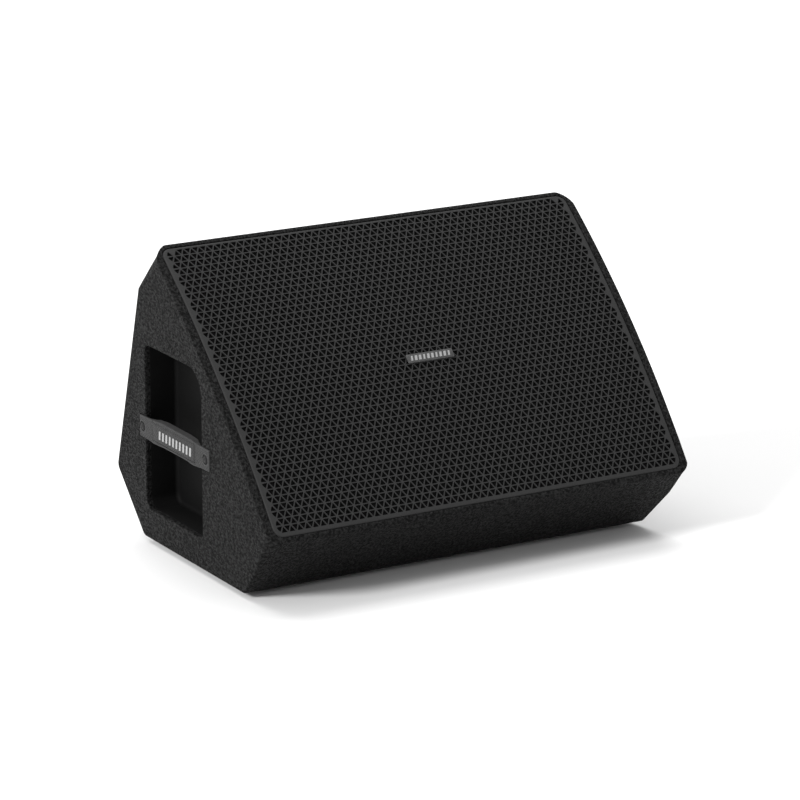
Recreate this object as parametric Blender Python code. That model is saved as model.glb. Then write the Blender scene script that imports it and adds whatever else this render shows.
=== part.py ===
"""Passive two-way stage monitor wedge, built panel by panel.

Metres, +X to the object's right as seen from the audience side of the grille, +Y to the rear, +Z up.
The origin is on the floor under the centre of the object's bounding box.

The cabinet is drawn in a side view: `back` runs to the rear from the bottom front edge and `up` runs up
from the underside of the bottom panel. The grille, baffle and drivers are drawn in the baffle's own frame:
x across, y up the slope and z outwards, with its origin in the middle of the straight line that joins the
top and bottom edges of the front face.
"""
import math

import bmesh
import bpy
from mathutils import Matrix, Vector

# ---------------------------------------------------------------- driving dimensions
GAP = 0.0003                    # left between pieces that touch
PANEL = 0.015                   # plywood of the cabinet
FOOT_HEIGHT = 0.006

# Side view of the cabinet: corners as if they were sharp, with the radius each one is rounded to
BOTTOM_FRONT = (0.0, 0.0)
BOTTOM_REAR = (0.263, 0.0)
HEEL = (0.324, 0.071)
SHOULDER = (0.223, 0.307)
BROW = (0.1810, 0.3637)
TOE = (-0.0765, 0.0778)
FRONT_CORNER_RADIUS = 0.005     # at the brow and the toe, beside the grille
CORNER_RADIUS = 0.010           # at the other four corners
SIDE_EDGE_RADIUS = 0.005        # between a side panel's face and the panels round it
ARC_STEPS = 4

FRONT_HALF_WIDTH = 0.2830        # half the width at the top and bottom edges of the front face
SIDE_TAPER = 0.109              # loss of half width for each metre behind the front face
FRONT_SAGITTA = 0.0123           # how far the front face bulges

# Grille and what lies behind it, in the baffle's frame
GRILLE_HALF_WIDTH = 0.2737
GRILLE_TOP = 0.1845
GRILLE_BOTTOM = -0.1865
GRILLE_CORNER = 0.012
GRILLE_SHEET = 0.0015
GRILLE_EDGE_Z = -0.0120         # how deep the folded edge of the grille reaches
FOAM = 0.008
BOARD_FRONT = -0.022
BOARD = 0.018
BOARD_TOP = 0.1665
BOARD_BOTTOM = -0.1755
BADGE = (0.062, 0.011, 0.0015)
BADGE_Y = -0.003

# Drivers on the baffle: (x, y) of each axis
WOOFER_AXIS = (-0.085, -0.004)
HORN_AXIS = (0.160, 0.045)
PORT_AXES = ((0.122, -0.122), (0.200, -0.122))
WOOFER_CUTOUT_RADIUS = 0.1405
WOOFER_SCREWS = 8
WOOFER_SCREW_CIRCLE = 0.1495
HORN_CUTOUT = (0.0705, 0.0985)
PORT_CUTOUT_RADIUS = 0.0315

# Handle pocket in the side view: corners with their radii, clockwise from the top front one
POCKET = (
    ((0.0709, 0.2400), 0.028),
    ((0.2172, 0.2400), 0.008),
    ((0.2477, 0.0384), 0.012),
    ((0.1003, 0.0384), 0.008),
)
POCKET_WALL = 0.0025
POCKET_LIP_DEPTH = 0.0065       # painted edge of the panel before the pocket's own wall starts
POCKET_LEDGE_DEPTH = 0.0115
POCKET_DEPTH = 0.042
POCKET_FLOOR_CHAMFER = 0.005
POCKET_FRONT_LIMIT = -0.0250    # below its ledge the pocket stays behind the grille and the driver flanges

# Strap handle: stations along it as (back, inner face, outer face, lower edge, upper edge). Faces are
# heights over the side panel; edges are measured from the strap's middle line.
STRAP_UP = 0.1381
STRAP_END_SLANT = 0.15
STRAP_STATIONS = (
    (0.0648, -0.0012, 0.0012, -0.0131, 0.0130),
    (0.0880, -0.0012, 0.0012, -0.0133, 0.0131),
    (0.0960, -0.0040, 0.0014, -0.0141, 0.0137),
    (0.1070, -0.0068, 0.0020, -0.0146, 0.0151),
    (0.1250, -0.0075, 0.0020, -0.0131, 0.0158),
    (0.1830, -0.0075, 0.0020, -0.0131, 0.0160),
    (0.2010, -0.0068, 0.0020, -0.0139, 0.0149),
    (0.2120, -0.0040, 0.0014, -0.0147, 0.0135),
    (0.2215, -0.0012, 0.0012, -0.0138, 0.0133),
    (0.2465, -0.0012, 0.0012, -0.0132, 0.0128),
)
STRAP_REBATE = 0.0015           # shallow seat in the side panel for the strap's ends
STRAP_REBATE_HALF_WIDTH = 0.0144
STRAP_REBATE_END_GAP = 0.0006
STRAP_CHAMFER = 0.0010
STRAP_SCREWS = {"front": 0.0747, "rear": 0.2388}
STRAP_SCREW_HEAD_RADIUS = 0.0052
STRAP_SCREW_HEAD_HEIGHT = 0.0022
SCREW_SHANK_RADIUS = 0.0021
SCREW_HOLE_RADIUS = 0.0023
STRAP_SCREW_DEPTH = 0.010

# Input plate on the back panel: distance of its centre from the heel, up the panel
PLATE_CENTRE = 0.090
PLATE = (0.160, 0.090, 0.0025)
PLATE_OPENING = (0.130, 0.060)
SOCKET_X = (-0.032, 0.032)
SOCKET_BARREL_RADIUS = 0.0120
SOCKET_HOLE_RADIUS = 0.0123

FOOT_RADIUS = 0.015
FOOT_X = 0.205
FOOT_BACK = (0.048, 0.215)


# ---------------------------------------------------------------- plane geometry
def line_meet(start, along, other, other_along):
    """Point where two lines of the side view cross."""
    across = along[0] * other_along[1] - along[1] * other_along[0]
    reach = ((other[0] - start[0]) * other_along[1] - (other[1] - start[1]) * other_along[0]) / across
    return (start[0] + along[0] * reach, start[1] + along[1] * reach)


def direction(start, end):
    length = math.dist(start, end)
    return ((end[0] - start[0]) / length, (end[1] - start[1]) / length)


def inset_corners(corners, inset):
    """Corners of a counterclockwise outline whose sides all move inwards by inset."""
    moved = []
    count = len(corners)
    for index, corner in enumerate(corners):
        before = direction(corners[index - 1], corner)
        after = direction(corner, corners[(index + 1) % count])
        start = (corner[0] - before[1] * inset, corner[1] + before[0] * inset)
        other = (corner[0] - after[1] * inset, corner[1] + after[0] * inset)
        moved.append(line_meet(start, before, other, after))
    return moved


def round_corner(before, corner, after, radius, steps=ARC_STEPS):
    """Points of the arc that rounds a corner, from the side before it to the side after it."""
    arriving = Vector(direction(before, corner))
    leaving = Vector(direction(corner, after))
    turn = arriving.angle(leaving)
    tangent = radius * math.tan(turn / 2.0)
    inward = (leaving - arriving).normalized()
    centre = Vector(corner) + inward * (radius / math.cos(turn / 2.0))
    first = Vector(corner) - arriving * tangent - centre
    side = 1.0 if arriving.cross(leaving) > 0.0 else -1.0
    points = []
    for step in range(steps + 1):
        arm = first.copy()
        arm.rotate(Matrix.Rotation(side * turn * step / steps, 2))
        points.append(tuple(centre + arm))
    return points


# ---------------------------------------------------------------- the cabinet's outline
FRONT_CENTRE = ((BROW[0] + TOE[0]) / 2.0, (BROW[1] + TOE[1]) / 2.0)
UP_SLOPE = direction(TOE, BROW)
OUTWARDS = (-UP_SLOPE[1], UP_SLOPE[0])
FRONT_HALF_HEIGHT = math.dist(TOE, BROW) / 2.0
FRONT_RADIUS = (FRONT_HALF_HEIGHT ** 2 + FRONT_SAGITTA ** 2) / (2.0 * FRONT_SAGITTA)
FRONT_SEGMENTS = 8


def bulge(y):
    """Height of the front face over the straight line between its edges."""
    return math.sqrt(FRONT_RADIUS ** 2 - y ** 2) - (FRONT_RADIUS - FRONT_SAGITTA)


def from_baffle(y, z):
    """Side view position of a point of the baffle's frame."""
    return (
        FRONT_CENTRE[0] + UP_SLOPE[0] * y + OUTWARDS[0] * z,
        FRONT_CENTRE[1] + UP_SLOPE[1] * y + OUTWARDS[1] * z,
    )


def outward_distance(point):
    """Distance of a side view point in front of the line between the brow and the toe."""
    return (point[0] - FRONT_CENTRE[0]) * OUTWARDS[0] + (point[1] - FRONT_CENTRE[1]) * OUTWARDS[1]


def half_width(point):
    """Half the cabinet's outer width at a side view point."""
    return FRONT_HALF_WIDTH + SIDE_TAPER * outward_distance(point)


def front_face_points():
    """Points between the brow and the toe along the bulging front face."""
    points = []
    for step in range(1, FRONT_SEGMENTS):
        y = FRONT_HALF_HEIGHT * (1.0 - 2.0 * step / FRONT_SEGMENTS)
        points.append(from_baffle(y, bulge(y)))
    return points


SHARP_CORNERS = [BOTTOM_FRONT, BOTTOM_REAR, HEEL, SHOULDER, BROW] + front_face_points() + [TOE]
BROW_INDEX = 4
CORNER_RADII = [CORNER_RADIUS] * BROW_INDEX + [FRONT_CORNER_RADIUS]
CORNER_RADII += [0.0] * (FRONT_SEGMENTS - 1) + [FRONT_CORNER_RADIUS]
SMALLEST_RADIUS = 0.0015


def cabinet_outline(inset=0.0):
    """Rounded outline of the cabinet in the side view, moved inwards by inset."""
    corners = inset_corners(SHARP_CORNERS, inset)
    count = len(corners)
    points = []
    for index, corner in enumerate(corners):
        if CORNER_RADII[index] == 0.0:
            points.append(corner)
            continue
        radius = max(CORNER_RADII[index] - inset, SMALLEST_RADIUS)
        points += round_corner(corners[index - 1], corner, corners[(index + 1) % count], radius)
    return points


OUTLINE_BACK = [point[0] for point in cabinet_outline()]
DEPTH_SHIFT = -(min(OUTLINE_BACK) + max(OUTLINE_BACK)) / 2.0


def world(x, point):
    """World position of a side view point at x."""
    return Vector((x, point[0] + DEPTH_SHIFT, point[1] + FOOT_HEIGHT))


def side_world(side, point, depth):
    """World position of a side view point that lies depth under a side panel's face."""
    return world(side * (half_width(point) - depth), point)


# ---------------------------------------------------------------- mesh helpers
def remove_everything():
    for thing in list(bpy.data.objects):
        bpy.data.objects.remove(thing, do_unlink=True)


MATERIALS = {}


def material(name, color, roughness, metallic=0.0):
    if name not in MATERIALS:
        made = bpy.data.materials.new(name)
        made.use_nodes = True
        shader = made.node_tree.nodes["Principled BSDF"]
        shader.inputs["Base Color"].default_value = (*color, 1.0)
        shader.inputs["Roughness"].default_value = roughness
        shader.inputs["Metallic"].default_value = metallic
        made.diffuse_color = (*color, 1.0)
        MATERIALS[name] = made
    return MATERIALS[name]


def cabinet_paint():
    return material("cabinet_paint", (0.028, 0.028, 0.029), 0.75)


def plywood():
    return material("plywood", (0.45, 0.32, 0.19), 0.7)


def steel():
    return material("black_steel", (0.050, 0.050, 0.052), 0.45, 0.6)


def bare_steel():
    return material("zinc_steel", (0.55, 0.55, 0.56), 0.35, 1.0)


def black_plastic():
    return material("black_plastic", (0.012, 0.012, 0.012), 0.6)


def strap_rubber():
    return material("strap_rubber", (0.13, 0.13, 0.13), 0.7)


def black_foam():
    return material("black_foam", (0.008, 0.008, 0.008), 0.95)


def paper_pulp():
    return material("paper_cone", (0.030, 0.030, 0.032), 0.85)


def ferrite():
    return material("ferrite", (0.060, 0.058, 0.056), 0.55)


def copper():
    return material("copper", (0.72, 0.34, 0.16), 0.35, 1.0)


def add_object(name, mesh_data, finish, parent=None):
    bmesh.ops.recalc_face_normals(mesh_data, faces=mesh_data.faces)
    mesh = bpy.data.meshes.new(name)
    mesh_data.to_mesh(mesh)
    mesh_data.free()
    mesh.shade_smooth()
    mesh.set_sharp_from_angle(angle=math.radians(35.0))
    thing = bpy.data.objects.new(name, mesh)
    bpy.context.collection.objects.link(thing)
    if finish is not None:
        mesh.materials.append(finish)
    thing.parent = parent
    return thing


def as_cutter(thing):
    thing.hide_render = True
    thing.display_type = "WIRE"
    return thing


def boolean(target, other, operation="DIFFERENCE"):
    modifier = target.modifiers.new(other.name, "BOOLEAN")
    modifier.operation = operation
    modifier.solver = "EXACT"
    modifier.object = other
    as_cutter(other)


def loft(loops):
    """Closed solid through loops of equally many points, with a cap on the first and the last."""
    mesh_data = bmesh.new()
    rings = [[mesh_data.verts.new(point) for point in loop] for loop in loops]
    for ring, following in zip(rings, rings[1:]):
        count = len(ring)
        for index in range(count):
            after = (index + 1) % count
            mesh_data.faces.new((ring[index], ring[after], following[after], following[index]))
    mesh_data.faces.new(rings[0])
    mesh_data.faces.new(rings[-1])
    return mesh_data


def turned(profile, segments=28):
    """Solid of revolution round Z from a closed outline of (radius, z) points."""
    mesh_data = bmesh.new()
    rings = []
    for radius, z in profile:
        if radius == 0.0:
            rings.append([mesh_data.verts.new((0.0, 0.0, z))])
            continue
        ring = []
        for step in range(segments):
            angle = 2.0 * math.pi * step / segments
            ring.append(mesh_data.verts.new((radius * math.cos(angle), radius * math.sin(angle), z)))
        rings.append(ring)
    for ring, following in zip(rings, rings[1:] + rings[:1]):
        for step in range(segments):
            after = (step + 1) % segments
            corners = [ring[step % len(ring)], ring[after % len(ring)]]
            corners += [following[after % len(following)], following[step % len(following)]]
            corners = list(dict.fromkeys(corners))
            if len(corners) > 2:
                mesh_data.faces.new(corners)
    return mesh_data


def box(low, high):
    corners = ((low[0], low[1]), (high[0], low[1]), (high[0], high[1]), (low[0], high[1]))
    return loft([[(x, y, z) for x, y in corners] for z in (low[2], high[2])])


def rounded_rectangle(half_x, half_y, radius, steps=ARC_STEPS):
    """Counterclockwise outline centred on the origin."""
    corners = [(-half_x, -half_y), (half_x, -half_y), (half_x, half_y), (-half_x, half_y)]
    points = []
    for index, corner in enumerate(corners):
        points += round_corner(corners[index - 1], corner, corners[(index + 1) % 4], radius, steps)
    return points


def add_empty(name, location, rotation=None, parent=None):
    empty = bpy.data.objects.new(name, None)
    bpy.context.collection.objects.link(empty)
    empty.location = location
    if rotation is not None:
        empty.rotation_euler = rotation
    empty.parent = parent
    return empty


# ---------------------------------------------------------------- cabinet panels
def grille_recess(frame):
    """Cutter for the rebate that the grille drops into."""
    middle = (GRILLE_TOP + GRILLE_BOTTOM) / 2.0
    half_y = (GRILLE_TOP - GRILLE_BOTTOM) / 2.0 + GAP
    outline = rounded_rectangle(GRILLE_HALF_WIDTH + GAP, half_y, GRILLE_CORNER + GAP)
    loops = [[(x, y + middle, z) for x, y in outline] for z in (GRILLE_EDGE_Z - GAP, 0.05)]
    return as_cutter(add_object("cut_grille_recess", loft(loops), None, frame))


def side_panel(name, side, recess):
    loops = [[side_world(side, point, PANEL) for point in cabinet_outline()]]
    arc_steps = 3
    for step in range(arc_steps + 1):
        angle = math.radians(90.0) * step / arc_steps
        depth = SIDE_EDGE_RADIUS * (1.0 - math.sin(angle))
        inset = SIDE_EDGE_RADIUS * (1.0 - math.cos(angle))
        loops.append([side_world(side, point, depth) for point in cabinet_outline(inset)])
    panel = add_object(name, loft(loops), cabinet_paint())
    boolean(panel, recess)
    mouth = side_prism("cut_" + name + "_mouth", side, pocket_outline(0.0), -0.010, 0.010)
    seat_outline = pocket_outline(POCKET_WALL + 2 * GAP)
    seat = side_prism("cut_" + name + "_seat", side, seat_outline, POCKET_LIP_DEPTH, PANEL + 0.010)
    boolean(panel, mouth)
    boolean(panel, seat)
    boolean(panel, strap_rebate("cut_" + name + "_rebate", side))
    hole_depth = STRAP_SCREW_DEPTH + GAP
    for place, back in STRAP_SCREWS.items():
        hole_name = "cut_" + name + "_" + place
        boolean(panel, side_disc(hole_name, side, back, SCREW_HOLE_RADIUS, -0.010, hole_depth))
    return panel


def cross_section(first, last, open_start, open_end):
    """Section of the panel between two corners of the outline, mitred where it meets another panel."""
    outer = SHARP_CORNERS
    inner = inset_corners(SHARP_CORNERS, PANEL)
    count = len(outer)
    along = direction(outer[first], outer[last])
    half_gap = GAP / 2.0

    def arc(index):
        return round_corner(outer[index - 1], outer[index], outer[(index + 1) % count], CORNER_RADII[index])

    middle = ARC_STEPS // 2
    start_arc = arc(first)
    end_arc = arc(last)
    if open_start:
        before = direction(outer[first - 1], outer[first])
        inner_start = line_meet(inner[last], along, outer[first], before)
        outer_points = list(start_arc)
    else:
        inner_start = (inner[first][0] + along[0] * half_gap, inner[first][1] + along[1] * half_gap)
        outer_points = start_arc[middle:]
        outer_points[0] = (outer_points[0][0] + along[0] * half_gap, outer_points[0][1] + along[1] * half_gap)
    if open_end:
        after = direction(outer[last], outer[(last + 1) % count])
        inner_end = line_meet(inner[first], along, outer[last], after)
        outer_points += end_arc
    else:
        inner_end = (inner[last][0] - along[0] * half_gap, inner[last][1] - along[1] * half_gap)
        outer_points += end_arc[:middle]
        mitre = end_arc[middle]
        outer_points.append((mitre[0] - along[0] * half_gap, mitre[1] - along[1] * half_gap))
    return outer_points + [inner_end, inner_start]


def cross_panel(name, first, last, open_start=False, open_end=False):
    """Panel that runs across between the side panels."""
    section = cross_section(first, last, open_start, open_end)
    loops = [[side_world(side, point, PANEL + GAP) for point in section] for side in (-1.0, 1.0)]
    return add_object(name, loft(loops), cabinet_paint())


def make_panels(frame):
    recess = grille_recess(frame)
    side_panel("side_panel_left", -1.0, recess)
    side_panel("side_panel_right", 1.0, recess)
    toe_index = len(SHARP_CORNERS) - 1
    cross_panel("bottom_panel", 0, 1)
    cross_panel("lower_rear_panel", 1, 2)
    back = cross_panel("back_panel", 2, 3)
    top = cross_panel("top_rear_panel", 3, BROW_INDEX, open_end=True)
    front = cross_panel("lower_front_panel", toe_index, 0, open_start=True)
    boolean(top, recess)
    boolean(front, recess)
    return back


# ---------------------------------------------------------------- handle pockets and straps
def pocket_outline(offset, limit=None):
    """Outline of the pocket's mouth, moved outwards by offset, counterclockwise in the side view.

    With a limit, it gets a point wherever it crosses that outward distance.
    """
    corners = [corner for corner, _ in POCKET][::-1]
    radii = [radius for _, radius in POCKET][::-1]
    corners = inset_corners(corners, -offset)
    points = []
    for index, corner in enumerate(corners):
        after = corners[(index + 1) % len(corners)]
        points += round_corner(corners[index - 1], corner, after, radii[index] + offset)
    return points if limit is None else with_crossings(points, limit)


def with_crossings(points, limit):
    crossed = []
    for index, start in enumerate(points):
        end = points[(index + 1) % len(points)]
        crossed.append(start)
        from_start = outward_distance(start) - limit
        from_end = outward_distance(end) - limit
        if from_start * from_end < 0.0:
            share = from_start / (from_start - from_end)
            crossed.append((start[0] + (end[0] - start[0]) * share, start[1] + (end[1] - start[1]) * share))
    return crossed


def kept_behind(points, limit):
    """Points moved straight back from the grille until none is in front of limit."""
    moved = []
    for point in points:
        excess = max(outward_distance(point) - limit, 0.0)
        moved.append((point[0] - OUTWARDS[0] * excess, point[1] - OUTWARDS[1] * excess))
    return moved


def side_prism(name, side, outline, depth_from, depth_to):
    loops = [[side_world(side, point, depth) for point in outline] for depth in (depth_from, depth_to)]
    return as_cutter(add_object(name, loft(loops), None))


def disc_points(back, up, radius, count=14):
    points = []
    for step in range(count):
        angle = 2.0 * math.pi * step / count
        points.append((back + radius * math.cos(angle), up + radius * math.sin(angle)))
    return points


def strap_rebate(name, side):
    """Cutter for the shallow seat that takes the ends of the strap."""
    half = STRAP_REBATE_HALF_WIDTH
    front = STRAP_STATIONS[0][0] - STRAP_REBATE_END_GAP
    rear = STRAP_STATIONS[-1][0] + STRAP_REBATE_END_GAP
    outline = []
    for back, across in ((front, -half), (rear, -half), (rear, half), (front, half)):
        outline.append((back - STRAP_END_SLANT * across, STRAP_UP + across))
    return side_prism(name, side, outline, -0.010, STRAP_REBATE)


def side_disc(name, side, back, radius, depth_from, depth_to):
    return side_prism(name, side, disc_points(back, STRAP_UP, radius), depth_from, depth_to)


def handle_pocket(name, side):
    """Dish behind the side panel, with a ledge where its top front corner would reach the grille."""
    outer = pocket_outline(POCKET_WALL, POCKET_FRONT_LIMIT + POCKET_WALL)
    inner = pocket_outline(0.0, POCKET_FRONT_LIMIT)
    outer_deep = kept_behind(outer, POCKET_FRONT_LIMIT + POCKET_WALL)
    inner_deep = kept_behind(inner, POCKET_FRONT_LIMIT)
    floor_limit = POCKET_FRONT_LIMIT - POCKET_FLOOR_CHAMFER
    floor = kept_behind(pocket_outline(-POCKET_FLOOR_CHAMFER, floor_limit), floor_limit)
    sections = (
        (outer_deep, POCKET_DEPTH + POCKET_WALL),
        (outer_deep, PANEL - GAP),
        (outer, PANEL - GAP),
        (outer, POCKET_LIP_DEPTH + GAP),
        (inner, POCKET_LIP_DEPTH + GAP),
        (inner, POCKET_LEDGE_DEPTH),
        (inner_deep, POCKET_LEDGE_DEPTH),
        (inner_deep, POCKET_DEPTH - POCKET_FLOOR_CHAMFER),
        (floor, POCKET_DEPTH),
    )
    loops = [[side_world(side, point, depth) for point in outline] for outline, depth in sections]
    mesh_data = loft(loops)
    bmesh.ops.remove_doubles(mesh_data, verts=mesh_data.verts, dist=1e-7)
    return add_object(name, mesh_data, black_plastic())


def strap_loop(side, station, slant):
    back, inner, outer, low, high = station
    c = STRAP_CHAMFER
    rectangle = (
        (low + c, outer), (high - c, outer), (high, outer - c), (high, inner + c),
        (high - c, inner), (low + c, inner), (low, inner + c), (low, outer - c),
    )
    loop = []
    for across, height in rectangle:
        point = (back - slant * across, STRAP_UP + across)
        loop.append(side_world(side, point, -height))
    return loop


def handle_strap(name, side):
    loops = []
    last = len(STRAP_STATIONS) - 1
    for index, station in enumerate(STRAP_STATIONS):
        slant = STRAP_END_SLANT if index in (0, last) else 0.0
        loops.append(strap_loop(side, station, slant))
    strap = add_object(name, loft(loops), strap_rubber())
    for place, back in STRAP_SCREWS.items():
        boolean(strap, side_disc("cut_" + name + "_" + place, side, back, SCREW_HOLE_RADIUS, -0.010, 0.010))


def strap_screw(name, side, back):
    """Domed screw head on the strap's tab with its shank in the side panel."""
    tab_face = STRAP_STATIONS[0][2] + GAP
    head = STRAP_SCREW_HEAD_RADIUS
    rise = STRAP_SCREW_HEAD_HEIGHT
    sections = (
        (SCREW_SHANK_RADIUS, STRAP_SCREW_DEPTH),
        (SCREW_SHANK_RADIUS, -tab_face),
        (head, -tab_face),
        (head, -tab_face - 0.3 * rise),
        (0.8 * head, -tab_face - 0.75 * rise),
        (0.4 * head, -tab_face - rise),
    )
    loops = []
    for radius, depth in sections:
        loops.append([side_world(side, point, depth) for point in disc_points(back, STRAP_UP, radius)])
    return add_object(name, loft(loops), steel())


def make_handles():
    for word, side in (("left", -1.0), ("right", 1.0)):
        handle_pocket("handle_pocket_" + word, side)
        handle_strap("handle_strap_" + word, side)
        for place, back in STRAP_SCREWS.items():
            strap_screw("handle_screw_" + word + "_" + place, side, back)


# ---------------------------------------------------------------- grille, foam and badge
def arched_slab(name, frame, below_top, below_bottom):
    """Slab under the bulging front surface, longer and wider than the grille."""
    reach = 0.200
    steps = 16
    ys = [-reach + 2.0 * reach * step / steps for step in range(steps + 1)]
    section = [(y, bulge(y) - below_top) for y in ys]
    section += [(y, bulge(y) - below_bottom if below_bottom is not None else -0.03) for y in reversed(ys)]
    loops = [[(x, y, z) for y, z in section] for x in (-0.30, 0.30)]
    return add_object(name, loft(loops), None, frame)


def plan_prism(name, frame, inset, low, high, finish):
    """Upright prism on the grille's rounded rectangle, moved inwards by inset."""
    middle = (GRILLE_TOP + GRILLE_BOTTOM) / 2.0
    half_y = (GRILLE_TOP - GRILLE_BOTTOM) / 2.0 - inset
    outline = rounded_rectangle(GRILLE_HALF_WIDTH - inset, half_y, GRILLE_CORNER - inset)
    loops = [[(x, y + middle, z) for x, y in outline] for z in (low, high)]
    return add_object(name, loft(loops), finish, frame)


def make_grille(frame):
    high = 0.030
    grille = plan_prism("grille", frame, 0.0, GRILLE_EDGE_Z, high, steel())
    boolean(grille, arched_slab("keep_under_front_face", frame, 0.0, None), "INTERSECT")
    hollow = plan_prism("cut_grille_hollow", frame, GRILLE_SHEET, GRILLE_EDGE_Z - 0.01, high, None)
    boolean(hollow, arched_slab("keep_under_sheet", frame, GRILLE_SHEET, None), "INTERSECT")
    boolean(grille, hollow)

    foam = plan_prism("grille_foam", frame, GRILLE_SHEET + GAP, GRILLE_EDGE_Z, high, black_foam())
    top = GRILLE_SHEET + GAP
    boolean(foam, arched_slab("keep_foam", frame, top, top + FOAM), "INTERSECT")

    length, width, thickness = BADGE
    level = bulge(0.0) + GAP
    outline = rounded_rectangle(length / 2.0, width / 2.0, 0.0015, 2)
    loops = [[(x, y + BADGE_Y, z) for x, y in outline] for z in (level, level + thickness)]
    add_object("badge", loft(loops), black_plastic(), frame)


# ---------------------------------------------------------------- baffle board and its cleats
def make_baffle(frame):
    edge = FRONT_HALF_WIDTH + SIDE_TAPER * (BOARD_FRONT - BOARD) - PANEL - GAP
    low = (-edge, BOARD_BOTTOM, BOARD_FRONT - BOARD)
    high = (edge, BOARD_TOP, BOARD_FRONT)
    board = add_object("baffle_board", box(low, high), plywood(), frame)
    through = (BOARD_FRONT - BOARD - 0.01, BOARD_FRONT + 0.01)

    def cut(name, centre, outline):
        loops = [[(centre[0] + x, centre[1] + y, z) for x, y in outline] for z in through]
        boolean(board, add_object(name, loft(loops), None, frame))

    cut("cut_woofer", WOOFER_AXIS, disc_points(0.0, 0.0, WOOFER_CUTOUT_RADIUS, 40))
    cut("cut_horn", HORN_AXIS, rounded_rectangle(*HORN_CUTOUT, 0.012))
    for number, axis in enumerate(PORT_AXES, 1):
        cut("cut_port_%d" % number, axis, disc_points(0.0, 0.0, PORT_CUTOUT_RADIUS, 24))
    for number, (x, y) in enumerate(woofer_screw_places(), 1):
        centre = (WOOFER_AXIS[0] + x, WOOFER_AXIS[1] + y)
        cut("cut_woofer_screw_%d" % number, centre, disc_points(0.0, 0.0, SCREW_HOLE_RADIUS, 10))
    clearance = POCKET_WALL + 2 * GAP
    notch_limit = POCKET_FRONT_LIMIT + clearance
    notch = kept_behind(pocket_outline(clearance, notch_limit), notch_limit)
    for word, side in (("left", -1.0), ("right", 1.0)):
        depth = POCKET_DEPTH + POCKET_WALL + 2 * GAP
        boolean(board, side_prism("cut_board_notch_" + word, side, notch, 0.0, depth))

    rear = BOARD_FRONT - BOARD - GAP
    cleat = 0.018
    half = 0.200
    for name, y_low in (("baffle_cleat_top", 0.1455), ("baffle_cleat_bottom", -0.1765)):
        piece = box((-half, y_low, rear - cleat), (half, y_low + 0.016, rear))
        add_object(name, piece, plywood(), frame)


# ---------------------------------------------------------------- woofer
def woofer_screw_places():
    places = []
    for number in range(WOOFER_SCREWS):
        angle = 2.0 * math.pi * (number + 0.5) / WOOFER_SCREWS
        places.append((WOOFER_SCREW_CIRCLE * math.cos(angle), WOOFER_SCREW_CIRCLE * math.sin(angle)))
    return places


def make_basket(axis):
    profile = (
        (0.155, 0.0050), (0.155, GAP), (0.1394, GAP), (0.138, -0.012), (0.106, -0.050), (0.090, -0.053),
        (0.074, -0.0747), (0.046, -0.0747), (0.046, -0.0717), (0.071, -0.0717), (0.085, -0.0500),
        (0.085, -0.0480), (0.103, -0.0480), (0.134, -0.009), (0.134, 0.0050),
    )
    basket = add_object("woofer_basket", turned(profile), steel(), axis)
    windows = bmesh.new()
    count = 6
    for number in range(count):
        angle = 2.0 * math.pi * number / count
        spin = Matrix.Rotation(angle, 4, "Z")
        low = Vector((0.100, -0.040, -0.0440))
        high = Vector((0.165, 0.040, -0.0200))
        part = box(low, high)
        part.transform(spin)
        mesh = bpy.data.meshes.new("window")
        part.to_mesh(mesh)
        part.free()
        windows.from_mesh(mesh)
        bpy.data.meshes.remove(mesh)
    boolean(basket, add_object("cut_basket_windows", windows, None, axis))
    for number, (x, y) in enumerate(woofer_screw_places(), 1):
        circle = disc_points(x, y, SCREW_HOLE_RADIUS, 10)
        loops = [[(px, py, z) for px, py in circle] for z in (-0.01, 0.02)]
        boolean(basket, add_object("cut_basket_screw_%d" % number, loft(loops), None, axis))


def make_cone(cone_axis):
    """Paper cone, its dust cap and the voice coil, which move together."""
    profile = (
        (0.118, 0.0050), (0.118, 0.0038), (0.0990, -0.0065), (0.0600, -0.0300), (0.0387, -0.0420),
        (0.0387, -0.0395), (0.0600, -0.0275), (0.0990, -0.0040),
    )
    add_object("woofer_cone", turned(profile), paper_pulp(), cone_axis)
    cap_radius = 0.0440
    cap = []
    rise = 0.012
    base = -0.0355
    steps = 4
    for step in range(steps + 1):
        angle = math.radians(90.0) * step / steps
        cap.append((cap_radius * math.cos(angle) if step < steps else 0.0, base + rise * math.sin(angle)))
    for step in range(steps, -1, -1):
        angle = math.radians(90.0) * step / steps
        radius = (cap_radius - 0.001) * math.cos(angle) if step < steps else 0.0
        cap.append((radius, base - 0.0008 + rise * math.sin(angle)))
    add_object("woofer_dust_cap", turned(cap), paper_pulp(), cone_axis)
    coil = (
        (0.0372, -0.0375), (0.0372, -0.0860), (0.0388, -0.0860), (0.0388, -0.0720), (0.0382, -0.0720),
        (0.0382, -0.0375),
    )
    add_object("woofer_voice_coil", turned(coil), copper(), cone_axis)


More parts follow.
